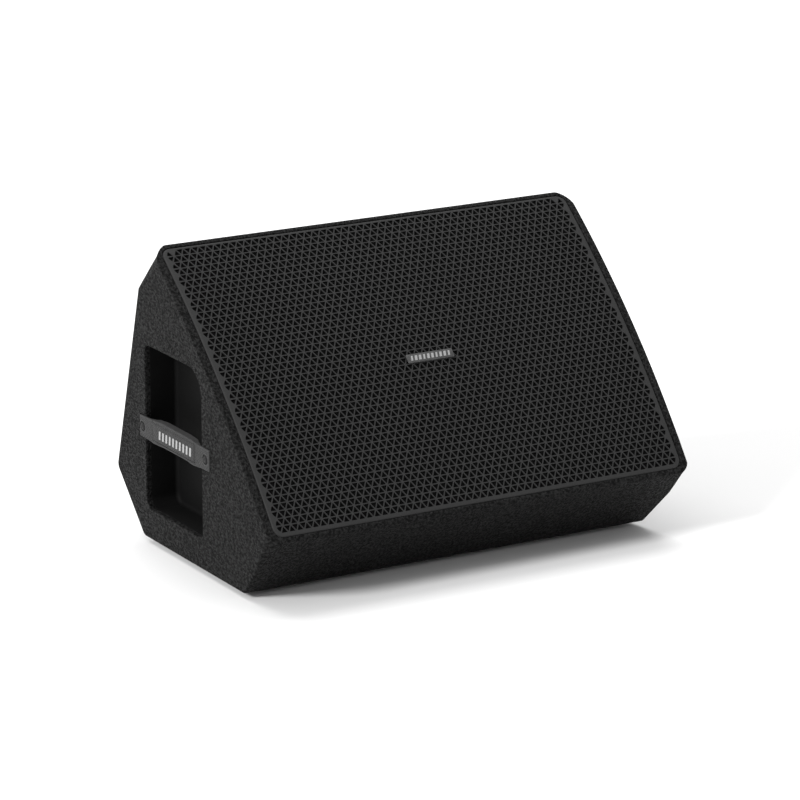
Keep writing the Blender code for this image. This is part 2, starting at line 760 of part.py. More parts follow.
def make_suspension(axis):
    """Rubber surround and corrugated spider, which bend as the cone moves."""
    rise = 0.0060
    skin = 0.0008
    roll_in = 0.1185
    roll_out = 0.1335
    middle = (roll_in + roll_out) / 2.0
    radius = (roll_out - roll_in) / 2.0
    base = 0.0050 + GAP
    steps = 6
    top = [(roll_in - 0.006, base + skin)]
    bottom = [(roll_in - 0.006, base)]
    for step in range(steps + 1):
        angle = math.pi * step / steps
        across = middle - radius * math.cos(angle)
        top.append((across, base + skin + rise * math.sin(angle)))
        bottom.append((across, base + rise * math.sin(angle)))
    top.append((0.1400, base + skin))
    bottom.append((0.1400, base))
    add_object("woofer_surround", turned(top + bottom[::-1]), black_foam(), axis)

    level = -0.0476
    waves = 4
    start, end = 0.0420, 0.0840
    upper = [(0.0386, level)]
    for step in range(2 * waves + 1):
        across = start + (end - start) * step / (2 * waves)
        upper.append((across, level + (0.0022 if step % 2 else 0.0)))
    upper.append((0.1015, level))
    lower = [(across, z + skin) for across, z in upper]
    add_object("woofer_spider", turned(upper + lower[::-1]), paper_pulp(), axis)


def make_motor(axis):
    """Magnet between its two steel plates; the pole rises through the coil."""
    plate = ((0.0396, -0.0750), (0.0396, -0.0830), (0.0720, -0.0830), (0.0720, -0.0750))
    add_object("woofer_top_plate", turned(plate), bare_steel(), axis)
    magnet = ((0.0450, -0.0833), (0.0450, -0.1030), (0.0800, -0.1030), (0.0800, -0.0833))
    add_object("woofer_magnet", turned(magnet), ferrite(), axis)
    pole = (
        (0.0, -0.0750), (0.0364, -0.0750), (0.0364, -0.1033), (0.0720, -0.1033), (0.0720, -0.1110),
        (0.0, -0.1110),
    )
    add_object("woofer_pole_plate", turned(pole), bare_steel(), axis)


def make_woofer(frame):
    axis = add_empty("woofer_axis", (*WOOFER_AXIS, BOARD_FRONT), parent=frame)
    cone_axis = add_empty("woofer_cone_axis", (0.0, 0.0, 0.0), parent=axis)
    make_basket(axis)
    make_cone(cone_axis)
    make_suspension(axis)
    make_motor(axis)
    gasket = ((0.1406, 0.0053), (0.1450, 0.0053), (0.1450, 0.0078), (0.1406, 0.0078))
    add_object("woofer_gasket", turned(gasket), black_foam(), axis)
    for number, (x, y) in enumerate(woofer_screw_places(), 1):
        sections = (
            (SCREW_SHANK_RADIUS, -0.015), (SCREW_SHANK_RADIUS, 0.0053), (0.0040, 0.0053),
            (0.0040, 0.0070), (0.0028, 0.0083),
        )
        loops = [[(px, py, z) for px, py in disc_points(x, y, radius, 10)] for radius, z in sections]
        add_object("woofer_screw_%d" % number, loft(loops), steel(), axis)


# ---------------------------------------------------------------- horn and compression driver
def horn_section(half_x, half_y, squareness, z, count=24):
    """Superellipse: squareness 2 is an ellipse, more is closer to a rectangle."""
    points = []
    for step in range(count):
        angle = 2.0 * math.pi * (step + 0.5) / count
        cosine = math.cos(angle)
        sine = math.sin(angle)
        x = math.copysign(abs(cosine) ** (2.0 / squareness), cosine) * half_x
        y = math.copysign(abs(sine) ** (2.0 / squareness), sine) * half_y
        points.append((x, y, z))
    return points


def make_horn(frame):
    axis = add_empty("horn_axis", (*HORN_AXIS, BOARD_FRONT), parent=frame)
    wall = 0.003
    throat = 0.0127
    throat_z = -0.105
    flange_z = 0.004
    flare = ((0.0, 0.060, 0.088, 7.0), (0.25, 0.046, 0.066, 5.0), (0.5, 0.032, 0.045, 4.0))
    flare += ((0.75, 0.020, 0.026, 3.0), (1.0, throat, throat, 2.0))
    rim = (0.0745, 0.1040, 12.0)
    loops = [horn_section(0.040, 0.040, 2.0, throat_z), horn_section(0.040, 0.040, 2.0, throat_z + 0.006)]
    for share, half_x, half_y, squareness in reversed(flare[1:4]):
        z = throat_z * share
        loops.append(horn_section(half_x + wall, half_y + wall, squareness, z))
    loops.append(horn_section(flare[0][1] + wall, flare[0][2] + wall, flare[0][3], GAP))
    loops.append(horn_section(*rim, GAP))
    loops.append(horn_section(*rim, flange_z))
    for share, half_x, half_y, squareness in flare:
        z = throat_z * share if share else flange_z
        loops.append(horn_section(half_x, half_y, squareness, z))
    mesh_data = bmesh.new()
    rings = [[mesh_data.verts.new(point) for point in loop] for loop in loops]
    for ring, following in zip(rings, rings[1:] + rings[:1]):
        for index in range(len(ring)):
            after = (index + 1) % len(ring)
            mesh_data.faces.new((ring[index], ring[after], following[after], following[index]))
    add_object("horn", mesh_data, black_plastic(), axis)
    make_compression_driver(axis, throat, throat_z)


def make_compression_driver(axis, throat, throat_z):
    front = throat_z - GAP
    body = (
        (throat, front), (0.045, front), (0.045, front - 0.025), (0.030, front - 0.025),
        (0.030, front - 0.017), (throat, front - 0.017),
    )
    add_object("driver_body", turned(body, 24), steel(), axis)
    clamp = front - 0.025
    ring = (
        (0.0262, clamp - 0.0003), (0.0262, clamp - 0.0009),
        (0.0345, clamp - 0.0009), (0.0345, clamp - 0.0003),
    )
    add_object("diaphragm_suspension", turned(ring, 24), black_plastic(), axis)
    cover = (
        (0.0360, clamp - GAP), (0.0440, clamp - GAP), (0.0440, clamp - 0.0120), (0.0380, clamp - 0.0160),
        (0.0, clamp - 0.0160), (0.0, clamp - 0.0120), (0.0360, clamp - 0.0120),
    )
    add_object("driver_back_cover", turned(cover, 24), black_plastic(), axis)
    diaphragm_axis = add_empty("driver_diaphragm_axis", (0.0, 0.0, 0.0), parent=axis)
    dome = [(0.0258, clamp + 0.0060), (0.0252, clamp + 0.0060)]
    steps = 4
    rise = 0.0070
    for step in range(steps + 1):
        angle = math.radians(90.0) * step / steps
        radius = 0.0252 * math.cos(angle) if step < steps else 0.0
        dome.append((radius, clamp - 0.0003 - rise * math.sin(angle)))
    for step in range(steps, -1, -1):
        angle = math.radians(90.0) * step / steps
        radius = 0.0258 * math.cos(angle) if step < steps else 0.0
        dome.append((radius, clamp - 0.0009 - rise * math.sin(angle)))
    add_object("driver_diaphragm", turned(dome, 24), bare_steel(), diaphragm_axis)


def make_ports(frame):
    length = 0.085
    bore = 0.0285
    outer = 0.0310
    flange = 0.0370
    for number, centre in enumerate(PORT_AXES, 1):
        axis = add_empty("port_axis_%d" % number, (*centre, BOARD_FRONT), parent=frame)
        profile = (
            (outer, GAP), (flange, GAP), (flange, 0.0025), (bore + 0.003, 0.0030), (bore, 0.0),
            (bore, -length), (outer, -length),
        )
        add_object("port_tube_%d" % number, turned(profile, 24), black_plastic(), axis)


# ---------------------------------------------------------------- input plate and crossover
def make_input_plate(back_panel):
    up_panel = direction(HEEL, SHOULDER)
    centre = (HEEL[0] + up_panel[0] * PLATE_CENTRE, HEEL[1] + up_panel[1] * PLATE_CENTRE)
    tilt = math.atan2(up_panel[1], up_panel[0])
    plate_frame = add_empty("input_plate_frame", world(0.0, centre), (tilt, 0.0, 0.0))
    half_x, half_y = PLATE_OPENING[0] / 2.0, PLATE_OPENING[1] / 2.0
    opening = box((-half_x, -half_y, -0.010), (half_x, half_y, 0.030))
    boolean(back_panel, add_object("cut_plate_opening", opening, None, plate_frame))

    half_x, half_y, thickness = PLATE[0] / 2.0, PLATE[1] / 2.0, PLATE[2]
    outline = rounded_rectangle(half_x, half_y, 0.004, 2)
    loops = [[(x, y, z) for x, y in outline] for z in (-GAP - thickness, -GAP)]
    plate = add_object("input_plate", loft(loops), steel(), plate_frame)
    face = -GAP - thickness - GAP
    for number, x in enumerate(SOCKET_X, 1):
        circle = disc_points(x, 0.0, SOCKET_HOLE_RADIUS, 20)
        hole = [[(px, py, z) for px, py in circle] for z in (-0.01, 0.01)]
        boolean(plate, add_object("cut_socket_%d" % number, loft(hole), None, plate_frame))
        socket_axis = add_empty("socket_axis_%d" % number, (x, 0.0, 0.0), parent=plate_frame)
        barrel = SOCKET_BARREL_RADIUS
        profile = (
            (0.0, 0.018), (barrel, 0.018), (barrel, face), (0.0155, face), (0.0155, face - 0.0018),
            (0.0098, face - 0.0018), (0.0095, 0.012), (0.0, 0.012),
        )
        add_object("speaker_socket_%d" % number, turned(profile, 20), black_plastic(), socket_axis)


def make_crossover():
    level = PANEL + GAP
    board_top = level + 0.002
    back_low, back_high = 0.125, 0.215
    y_low = back_low + DEPTH_SHIFT
    y_high = back_high + DEPTH_SHIFT
    z_board = level + FOOT_HEIGHT
    board = box((-0.065, y_low, z_board), (0.065, y_high, z_board + 0.002))
    add_object("crossover_board", board, material("circuit_board", (0.02, 0.10, 0.04), 0.5))
    rest = board_top + FOOT_HEIGHT + GAP
    coils = (("inductor_low", -0.036, 0.024, 0.022), ("inductor_high", 0.020, 0.016, 0.014))
    for name, x, radius, height in coils:
        stand = add_empty(name + "_axis", (x, y_low + 0.030, rest))
        core = 0.4 * radius
        profile = ((core, 0.0), (radius, 0.0), (radius, height), (core, height))
        add_object(name, turned(profile, 20), copper(), stand)
    film = material("film_capacitor", (0.60, 0.46, 0.10), 0.4)
    for name, x in (("capacitor_low", -0.036), ("capacitor_high", 0.014)):
        radius = 0.009
        stand = add_empty(name + "_axis", (x, y_low + 0.072, rest + radius), (0.0, math.radians(90.0), 0.0))
        profile = ((0.0, -0.019), (radius, -0.019), (radius, 0.019), (0.0, 0.019))
        add_object(name, turned(profile, 16), film, stand)
    resistor = box((0.048, y_low + 0.020, rest), (0.057, y_low + 0.068, rest + 0.009))
    add_object("padding_resistor", resistor, material("cement_resistor", (0.75, 0.74, 0.70), 0.8))


# ---------------------------------------------------------------- feet and damping
def make_feet():
    for word, x in (("left", -FOOT_X), ("right", FOOT_X)):
        for place, back in zip(("front", "rear"), FOOT_BACK):
            stand = add_empty("foot_%s_%s_axis" % (place, word), (x, back + DEPTH_SHIFT, 0.0))
            profile = (
                (0.0, 0.0), (FOOT_RADIUS - 0.0015, 0.0), (FOOT_RADIUS, 0.0015),
                (FOOT_RADIUS, FOOT_HEIGHT - GAP), (0.0, FOOT_HEIGHT - GAP),
            )
            finish = material("foot_rubber", (0.02, 0.02, 0.02), 0.8)
            add_object("rubber_foot_%s_%s" % (place, word), turned(profile, 20), finish, stand)


def make_wadding():
    """Damping pad stapled to the inner face of the back panel, above the input plate."""
    up_panel = direction(HEEL, SHOULDER)
    inwards = (-up_panel[1], up_panel[0])
    low, high = 0.150, 0.230
    thickness = 0.020
    section = []
    near = PANEL + GAP
    far = PANEL + thickness
    for along, deep in ((low, near), (high, near), (high, far), (low, far)):
        point = (
            HEEL[0] + up_panel[0] * along + inwards[0] * deep,
            HEEL[1] + up_panel[1] * along + inwards[1] * deep,
        )
        section.append(point)
    loops = [[world(x, point) for point in section] for x in (-0.17, 0.17)]
    add_object("damping_wadding", loft(loops), material("wadding", (0.70, 0.69, 0.64), 1.0))


# ---------------------------------------------------------------- assembly
def main():
    remove_everything()
    slope = math.atan2(UP_SLOPE[1], UP_SLOPE[0])
    frame = add_empty("baffle_frame", world(0.0, FRONT_CENTRE), (slope, 0.0, 0.0))
    back_panel = make_panels(frame)
    make_handles()
    make_grille(frame)
    make_baffle(frame)
    make_woofer(frame)
    make_horn(frame)
    make_ports(frame)
    make_input_plate(back_panel)
    make_crossover()
    make_feet()
    make_wadding()


main()
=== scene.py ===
"""Visible surfaces of the stage monitor wedge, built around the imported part.

Metres, in the part's frame: +X to the right as seen from the grille side, +Y to the rear, +Z up. As in the
part, the cabinet is drawn in a side view (back, up) and the grille in the baffle's frame (x, y up the
slope, z outwards).
"""
import math

import bmesh
import bpy
from mathutils import Matrix, Vector, noise
from mathutils.geometry import delaunay_2d_cdt

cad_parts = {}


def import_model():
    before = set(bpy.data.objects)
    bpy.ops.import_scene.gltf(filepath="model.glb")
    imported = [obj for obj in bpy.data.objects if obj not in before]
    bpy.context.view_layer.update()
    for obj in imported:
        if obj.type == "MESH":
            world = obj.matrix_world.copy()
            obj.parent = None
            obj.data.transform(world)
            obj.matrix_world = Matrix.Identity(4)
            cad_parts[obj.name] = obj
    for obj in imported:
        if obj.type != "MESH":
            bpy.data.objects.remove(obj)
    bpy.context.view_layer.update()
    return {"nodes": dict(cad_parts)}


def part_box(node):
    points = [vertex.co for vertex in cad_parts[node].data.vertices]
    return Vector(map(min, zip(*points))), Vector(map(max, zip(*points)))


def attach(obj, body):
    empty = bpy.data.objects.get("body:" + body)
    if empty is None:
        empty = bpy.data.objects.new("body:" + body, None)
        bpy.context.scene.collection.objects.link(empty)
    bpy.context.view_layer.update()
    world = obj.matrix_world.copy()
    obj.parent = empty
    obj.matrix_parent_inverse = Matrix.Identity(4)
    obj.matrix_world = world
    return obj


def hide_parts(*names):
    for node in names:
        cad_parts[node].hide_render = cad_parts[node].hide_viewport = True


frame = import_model()
NODES = frame["nodes"]

# ---- dimensions shared with the part
GAP = 0.0003
PANEL = 0.015
FOOT_HEIGHT = 0.006
BOTTOM_FRONT = (0.0, 0.0)
BOTTOM_REAR = (0.263, 0.0)
HEEL = (0.324, 0.071)
SHOULDER = (0.223, 0.307)
BROW = (0.1810, 0.3637)
TOE = (-0.0765, 0.0778)
FRONT_CORNER_RADIUS = 0.005
CORNER_RADIUS = 0.010
SIDE_EDGE_RADIUS = 0.0025
FRONT_HALF_WIDTH = 0.2830
SIDE_TAPER = 0.109
FRONT_SAGITTA = 0.0123
GRILLE_HALF_WIDTH = 0.2737
GRILLE_TOP = 0.1845
GRILLE_BOTTOM = -0.1865
GRILLE_CORNER = 0.012
GRILLE_MIDDLE = (GRILLE_TOP + GRILLE_BOTTOM) / 2.0
GRILLE_HALF_HEIGHT = (GRILLE_TOP - GRILLE_BOTTOM) / 2.0
GRILLE_SHEET = 0.0015
VISIBLE_SHEET = 0.0010          # the sheet as it shows at the holes, thinner than the CAD's allowance
GRILLE_EDGE_Z = -0.0120
BADGE = (0.062, 0.011, 0.0015)
BADGE_Y = -0.003
POCKET = (
    ((0.0709, 0.2400), 0.028),
    ((0.2172, 0.2400), 0.008),
    ((0.2477, 0.0384), 0.012),
    ((0.1003, 0.0384), 0.008),
)
POCKET_WALL = 0.0025
POCKET_LIP_DEPTH = 0.0065
POCKET_LEDGE_DEPTH = 0.0115
POCKET_DEPTH = 0.042
POCKET_FILLET = 0.005
POCKET_FRONT_LIMIT = -0.0250
STRAP_UP = 0.1381
STRAP_END_SLANT = 0.15
STRAP_STATIONS = (
    (0.0648, -0.0012, 0.0012, -0.0131, 0.0130),
    (0.0880, -0.0012, 0.0012, -0.0133, 0.0131),
    (0.0960, -0.0040, 0.0014, -0.0141, 0.0137),
    (0.1070, -0.0068, 0.0020, -0.0146, 0.0151),
    (0.1250, -0.0075, 0.0020, -0.0131, 0.0158),
    (0.1830, -0.0075, 0.0020, -0.0131, 0.0160),
    (0.2010, -0.0068, 0.0020, -0.0139, 0.0149),
    (0.2120, -0.0040, 0.0014, -0.0147, 0.0135),
    (0.2215, -0.0012, 0.0012, -0.0138, 0.0133),
    (0.2465, -0.0012, 0.0012, -0.0132, 0.0128),
)
STRAP_REBATE = 0.0015
STRAP_REBATE_HALF_WIDTH = 0.0144
STRAP_REBATE_END_GAP = 0.0006
STRAP_SCREWS = {"front": 0.0747, "rear": 0.2388}
STRAP_START = STRAP_STATIONS[0][0]
STRAP_END = STRAP_STATIONS[-1][0]
PLATE_CENTRE = 0.090
PLATE = (0.160, 0.090, 0.0025)
SOCKET_X = (-0.032, 0.032)


# ---- plane geometry
def between(start, end, share):
    return tuple(a + (b - a) * share for a, b in zip(start, end))


def looped(items):
    """Each item with the one that follows it, and the last with the first."""
    return zip(items, items[1:] + items[:1])


def with_neighbours(items):
    """Each item between the one before it and the one after it, all the way round."""
    return zip(items[-1:] + items[:-1], items, items[1:] + items[:1])


def quarter_turn(steps, first=1):
    """Pairs for the steps of a rounded edge: one falls from 1 to 0 while the other rises from 0 to 1."""
    for step in range(first, steps + 1):
        angle = math.radians(90.0) * step / steps
        yield 1.0 - math.sin(angle), 1.0 - math.cos(angle)


def line_meet(start, along, other, other_along):
    across = along[0] * other_along[1] - along[1] * other_along[0]
    reach = ((other[0] - start[0]) * other_along[1] - (other[1] - start[1]) * other_along[0]) / across
    return (start[0] + along[0] * reach, start[1] + along[1] * reach)


def direction(start, end):
    length = math.dist(start, end)
    return ((end[0] - start[0]) / length, (end[1] - start[1]) / length)


def inset_corners(corners, inset):
    """Corners of a counterclockwise outline whose sides all move inwards by inset."""
    moved = []
    for previous, corner, following in with_neighbours(corners):
        before, after = direction(previous, corner), direction(corner, following)
        start = (corner[0] - before[1] * inset, corner[1] + before[0] * inset)
        other = (corner[0] - after[1] * inset, corner[1] + after[0] * inset)
        moved.append(line_meet(start, before, other, after))
    return moved


def round_corner(before, corner, after, radius, steps):
    """Points of the arc that rounds a corner, from the side before it to the side after it."""
    arriving = Vector(direction(before, corner))
    leaving = Vector(direction(corner, after))
    turn = arriving.angle(leaving)
    tangent = radius * math.tan(turn / 2.0)
    inward = (leaving - arriving).normalized()
    centre = Vector(corner) + inward * (radius / math.cos(turn / 2.0))
    first = Vector(corner) - arriving * tangent - centre
    side = 1.0 if arriving.cross(leaving) > 0.0 else -1.0
    points = []
    for step in range(steps + 1):
        arm = first.copy()
        arm.rotate(Matrix.Rotation(side * turn * step / steps, 2))
        points.append(tuple(centre + arm))
    return points


def rounded(corners, radii, steps):
    """Outline with its corners rounded, apart from those with a radius of zero."""
    points = []
    for (before, corner, after), radius in zip(with_neighbours(corners), radii):
        points += round_corner(before, corner, after, radius, steps) if radius else [corner]
    return points


def rectangle(low_x, high_x, low_y, high_y):
    return [(low_x, low_y), (high_x, low_y), (high_x, high_y), (low_x, high_y)]


def rounded_rectangle(half_x, half_y, radius, steps):
    """Counterclockwise outline centred on the origin."""
    return rounded(rectangle(-half_x, half_x, -half_y, half_y), [radius] * 4, steps)


def circle(x, y, radius, count):
    """Counterclockwise points of a circle."""
    turns = [2.0 * math.pi * step / count for step in range(count)]
    return [(x + radius * math.cos(turn), y + radius * math.sin(turn)) for turn in turns]


FRONT_CENTRE = ((BROW[0] + TOE[0]) / 2.0, (BROW[1] + TOE[1]) / 2.0)
UP_SLOPE = direction(TOE, BROW)
OUTWARDS = (-UP_SLOPE[1], UP_SLOPE[0])
FRONT_HALF_HEIGHT = math.dist(TOE, BROW) / 2.0
FRONT_RADIUS = (FRONT_HALF_HEIGHT ** 2 + FRONT_SAGITTA ** 2) / (2.0 * FRONT_SAGITTA)


def lean_of(start, end):
    """Shift up the slope for each metre that a side view line goes inwards from the baffle."""
    along = direction(start, end)
    up = along[0] * UP_SLOPE[0] + along[1] * UP_SLOPE[1]
    return -(up / (along[0] * OUTWARDS[0] + along[1] * OUTWARDS[1]))


def bulge(y):
    """Height of the front face over the straight line between its edges."""
    return math.sqrt(FRONT_RADIUS ** 2 - y ** 2) - (FRONT_RADIUS - FRONT_SAGITTA)


def from_baffle(y, z):
    return (
        FRONT_CENTRE[0] + UP_SLOPE[0] * y + OUTWARDS[0] * z,
        FRONT_CENTRE[1] + UP_SLOPE[1] * y + OUTWARDS[1] * z,
    )


def outward_distance(point):
    return (point[0] - FRONT_CENTRE[0]) * OUTWARDS[0] + (point[1] - FRONT_CENTRE[1]) * OUTWARDS[1]


def half_width(point):
    return FRONT_HALF_WIDTH + SIDE_TAPER * outward_distance(point)


FRONT_STEPS = 24
FRONT_POINTS = []
for front_step in range(1, FRONT_STEPS):
    front_y = FRONT_HALF_HEIGHT * (1.0 - 2.0 * front_step / FRONT_STEPS)
    FRONT_POINTS.append(from_baffle(front_y, bulge(front_y)))
SHARP_CORNERS = [BOTTOM_FRONT, BOTTOM_REAR, HEEL, SHOULDER, BROW] + FRONT_POINTS + [TOE]
CORNER_RADII = [CORNER_RADIUS] * 4 + [FRONT_CORNER_RADIUS]
CORNER_RADII += [0.0] * (FRONT_STEPS - 1) + [FRONT_CORNER_RADIUS]


def cabinet_outline(inset=0.0, steps=10):
    """Rounded outline of the cabinet in the side view, moved inwards by inset."""
    radii = [max(radius - inset, 0.0015) if radius else 0.0 for radius in CORNER_RADII]
    return rounded(inset_corners(SHARP_CORNERS, inset), radii, steps)


OUTLINE_BACK = [point[0] for point in cabinet_outline(0.0, 4)]
DEPTH_SHIFT = -(min(OUTLINE_BACK) + max(OUTLINE_BACK)) / 2.0


def world(x, point):
    return Vector((x, point[0] + DEPTH_SHIFT, point[1] + FOOT_HEIGHT))


def side_world(side, point, depth):
    """World position of a side view point that lies depth under a side panel's face."""
    return world(side * (half_width(point) - depth), point)


def side_loops(side, sections):
    return [[side_world(side, point, depth) for point in outline] for outline, depth in sections]


def on_baffle(x, y, z):
    return world(x, from_baffle(y, z))


def baffle_loop(outline, z, follows=False):
    """Outline on the baffle at height z, which follows the bulging front if asked."""
    return [on_baffle(x, y, z + (bulge(y) if follows else 0.0)) for x, y in outline]


def placed(outline, levels, place):
    """The outline at each of the levels of a frame."""
    return [[place @ Vector((x, y, z)) for x, y in outline] for z in levels]


BAFFLE = Matrix.Translation(world(0.0, FRONT_CENTRE))
BAFFLE = BAFFLE @ Matrix.Rotation(math.atan2(UP_SLOPE[1], UP_SLOPE[0]), 4, "X")
BACK_UP = direction(HEEL, SHOULDER)
PLATE_MIDDLE = (HEEL[0] + BACK_UP[0] * PLATE_CENTRE, HEEL[1] + BACK_UP[1] * PLATE_CENTRE)
BACK_FRAME = Matrix.Translation(world(0.0, PLATE_MIDDLE))
BACK_FRAME = BACK_FRAME @ Matrix.Rotation(math.atan2(BACK_UP[1], BACK_UP[0]), 4, "X")
# turned so that its Z axis points out of the back panel
BACK_FRAME = BACK_FRAME @ Matrix.Rotation(math.pi, 4, "Y")


# ---- materials
class Nodes:
    """Small helper that wires a material's node tree."""

    def __init__(self, name):
        self.made = bpy.data.materials.new(name)
        self.made.use_nodes = True
        self.tree = self.made.node_tree
        self.shader = self.tree.nodes["Principled BSDF"]
        self.place = self.add("ShaderNodeTexCoord", "Object", {})

    def fill(self, socket, value):
        """Gives a socket a constant or another node's output."""
        if isinstance(value, bpy.types.NodeSocket):
            self.tree.links.new(value, socket)
        else:
            socket.default_value = value

    def add(self, kind, output, inputs, **settings):
        node = self.tree.nodes.new(kind)
        for key, value in settings.items():
            setattr(node, key, value)
        for name, value in inputs.items():
            self.fill(node.inputs[name], value)
        return node.outputs[output]

    def noise(self, scale, detail=3.0, roughness=0.55, stretch=None):
        place = self.place
        if stretch is not None:
            place = self.add("ShaderNodeMapping", "Vector", {"Vector": place, "Scale": stretch})
        inputs = {"Vector": place, "Scale": scale, "Detail": detail, "Roughness": roughness}
        return self.add("ShaderNodeTexNoise", "Fac", inputs)

    def cells(self, scale):
        return self.add("ShaderNodeTexVoronoi", "Distance", {"Vector": self.place, "Scale": scale}, feature="F1")

    def bands(self, along, scale, distortion=0.0):
        inputs = {"Vector": self.place, "Scale": scale, "Distortion": distortion}
        return self.add("ShaderNodeTexWave", "Fac", inputs, wave_type="BANDS", bands_direction=along)

    def span(self, value, low, high, to_low, to_high):
        inputs = {"Value": value, "From Min": low, "From Max": high, "To Min": to_low, "To Max": to_high}
        return self.add("ShaderNodeMapRange", "Result", inputs)

    def maths(self, operation, first, second):
        return self.add("ShaderNodeMath", "Value", {0: first, 1: second}, operation=operation)

    def mix(self, factor, dark, light):
        inputs = {"Factor": factor, 6: (*dark, 1.0), 7: (*light, 1.0)}
        return self.add("ShaderNodeMix", 2, inputs, data_type="RGBA")

    def bump(self, height, distance):
        return self.add("ShaderNodeBump", "Normal", {"Height": height, "Distance": distance})

    def set(self, **values):
        for name, value in values.items():
            self.fill(self.shader.inputs[name.replace("_", " ")], value)
        return self.made


def grey(value):
    return (value, value, value)


def speckled(name, colours, grain, rough, bump, tint=None, tint_span=None, **settings):
    """Material whose roughness and bump follow a fine noise, and its colour the same or a broader one."""
    n = Nodes(name)
    fine = n.noise(*grain)
    broad = fine if tint is None else n.noise(*tint)
    if tint_span is not None:
        broad = n.span(broad, *tint_span, 0.0, 1.0)
    return n.set(
        Base_Color=n.mix(broad, *colours),
        Roughness=n.span(fine, 0.3, 0.7, *rough),
        Normal=n.bump(fine, bump),
        **settings,
    )


def cabinet_paint():
    """Sprayed, pebbled paint with a painted highlight on the tops of the pebbles and painted shade between them."""
    n = Nodes("cabinet_paint")
    pebbles = n.noise(380.0, 2.0, 0.55, (1.0, 0.55, 1.0))
    grain = n.noise(1000.0, 2.0, 0.6)
    broad = n.noise(7.0, 2.0)
    height = n.maths("ADD", pebbles, n.maths("MULTIPLY", grain, 0.3))
    painted_pebble_shade_and_tone = n.maths("ADD", height, n.maths("MULTIPLY", broad, 0.08))
    # painted light: near black between the pebbles (painted shade), pale on their tops (painted highlight), plus a
    # little random broad tone
    colour = n.mix(n.span(painted_pebble_shade_and_tone, 0.60, 0.82, 0.0, 1.0), grey(0.0004), grey(0.0190))
    return n.set(
        Base_Color=colour,
        Roughness=n.span(pebbles, 0.35, 0.65, 0.80, 0.62),
        Normal=n.bump(height, 0.0085),
        Specular_IOR_Level=0.12,
    )


def black_steel(name="black_steel", level=0.010):
    return speckled(
        name, (grey(level), grey(level * 1.9)), (1100.0, 3.0, 0.6), (0.42, 0.6), 0.0001,
        (160.0, 5.0, 0.7, (1.0, 5.0, 1.0)), (0.45, 0.8), Specular_IOR_Level=0.25,
    )


def moulded_plastic(name="moulded_plastic", level=0.0036, roughness=(0.66, 0.80)):
    n = Nodes(name)
    leather = n.cells(900.0)
    grain = n.noise(1300.0, 2.0, 0.5)
    colour = n.mix(n.noise(60.0, 4.0), grey(level * 0.85), grey(level * 1.2))
    height = n.maths("ADD", n.maths("MULTIPLY", leather, 0.6), n.maths("MULTIPLY", grain, 0.5))
    return n.set(
        Base_Color=colour,
        Roughness=n.span(grain, 0.3, 0.7, *roughness),
        Normal=n.bump(height, 0.00018),
        Specular_IOR_Level=0.10,
    )


def rubber(name="strap_rubber", level=0.034, bump=0.00012):
    return speckled(
        name, (grey(level * 0.9), grey(level * 1.12)), (1800.0, 3.0, 0.6), (0.62, 0.8), bump,
        (70.0, 4.0, 0.6), (0.3, 0.7), Specular_IOR_Level=0.3,
    )


def open_foam():
    n = Nodes("open_cell_foam")
    pores = n.cells(1300.0)
    grain = n.noise(300.0, 4.0, 0.7)
    # painted shade: the colour darkens towards the middle of each pore, where the bump is lowest
    colour = n.mix(n.span(pores, 0.1, 0.7, 0.0, 1.0), grey(0.0035), grey(0.0075))
    height = n.maths("ADD", pores, n.maths("MULTIPLY", grain, 0.8))
    return n.set(
        Base_Color=colour,
        Roughness=n.span(pores, 0.0, 0.8, 0.85, 1.0),
        Normal=n.bump(height, 0.0006),
        Specular_IOR_Level=0.05,
    )


def resin_cloth():
    n = Nodes("resin_dipped_cloth")
    weave = n.maths("MAXIMUM", n.bands("X", 500.0), n.bands("Y", 500.0))
    colour = n.mix(weave, (0.40, 0.26, 0.10), (0.70, 0.52, 0.26))
    return n.set(Base_Color=colour, Roughness=n.span(weave, 0.0, 1.0, 0.9, 0.7), Normal=n.bump(weave, 0.0002))


def copper_wire():
    n = Nodes("enamelled_copper")
    turns = n.bands("Z", 400.0, 0.6)
    return n.set(
        Base_Color=n.mix(turns, (0.34, 0.12, 0.045), (0.80, 0.36, 0.17)),
        Metallic=1.0,
        Roughness=n.span(turns, 0.0, 1.0, 0.45, 0.25),
        Normal=n.bump(turns, 0.0004),
    )


def circuit_laminate():
    n = Nodes("circuit_laminate")
    weave = n.cells(500.0)
    tracks = n.add("ShaderNodeTexBrick", "Fac", {"Vector": n.place, "Scale": 60.0, "Mortar Size": 0.03})
    colour = n.mix(tracks, (0.012, 0.075, 0.028), (0.03, 0.15, 0.06))
    return n.set(Base_Color=colour, Roughness=n.span(weave, 0.0, 1.0, 0.3, 0.45), Normal=n.bump(weave, 0.0001))


def polyester_wadding():
    n = Nodes("polyester_wadding")
    fibres = n.noise(380.0, 6.0, 0.85)
    tufts = n.noise(45.0, 4.0, 0.6)
    colour = n.mix(n.maths("MULTIPLY", fibres, tufts), (0.52, 0.51, 0.47), (0.92, 0.91, 0.87))
    return n.set(
        Base_Color=colour, Roughness=n.span(fibres, 0.2, 0.8, 0.9, 1.0), Normal=n.bump(fibres, 0.002),
        Sheen_Weight=0.25,
    )


PAINT = cabinet_paint()
GRILLE_STEEL = speckled(
    "powder_coated_steel", (grey(0.0185), grey(0.0235)), (1500.0, 2.0, 0.6), (0.55, 0.72), 0.00015,
    (14.0, 2.0), Specular_IOR_Level=0.25,
)
BLACK_STEEL = black_steel()
BARE_STEEL = speckled(
    "zinc_plated_steel", ((0.44, 0.44, 0.46), (0.62, 0.62, 0.63)), (70.0, 4.0, 0.6, (1.0, 1.0, 30.0)),
    (0.28, 0.45), 0.0001, (25.0, 4.0), Metallic=1.0,
)
PLASTIC = moulded_plastic()
STRAP = rubber()
FOOT = rubber("foot_rubber", 0.018, 0.0002)
PRINT = speckled("light_print", (grey(0.24), grey(0.34)), (900.0, 3.0, 0.6), (0.4, 0.55), 0.00005)


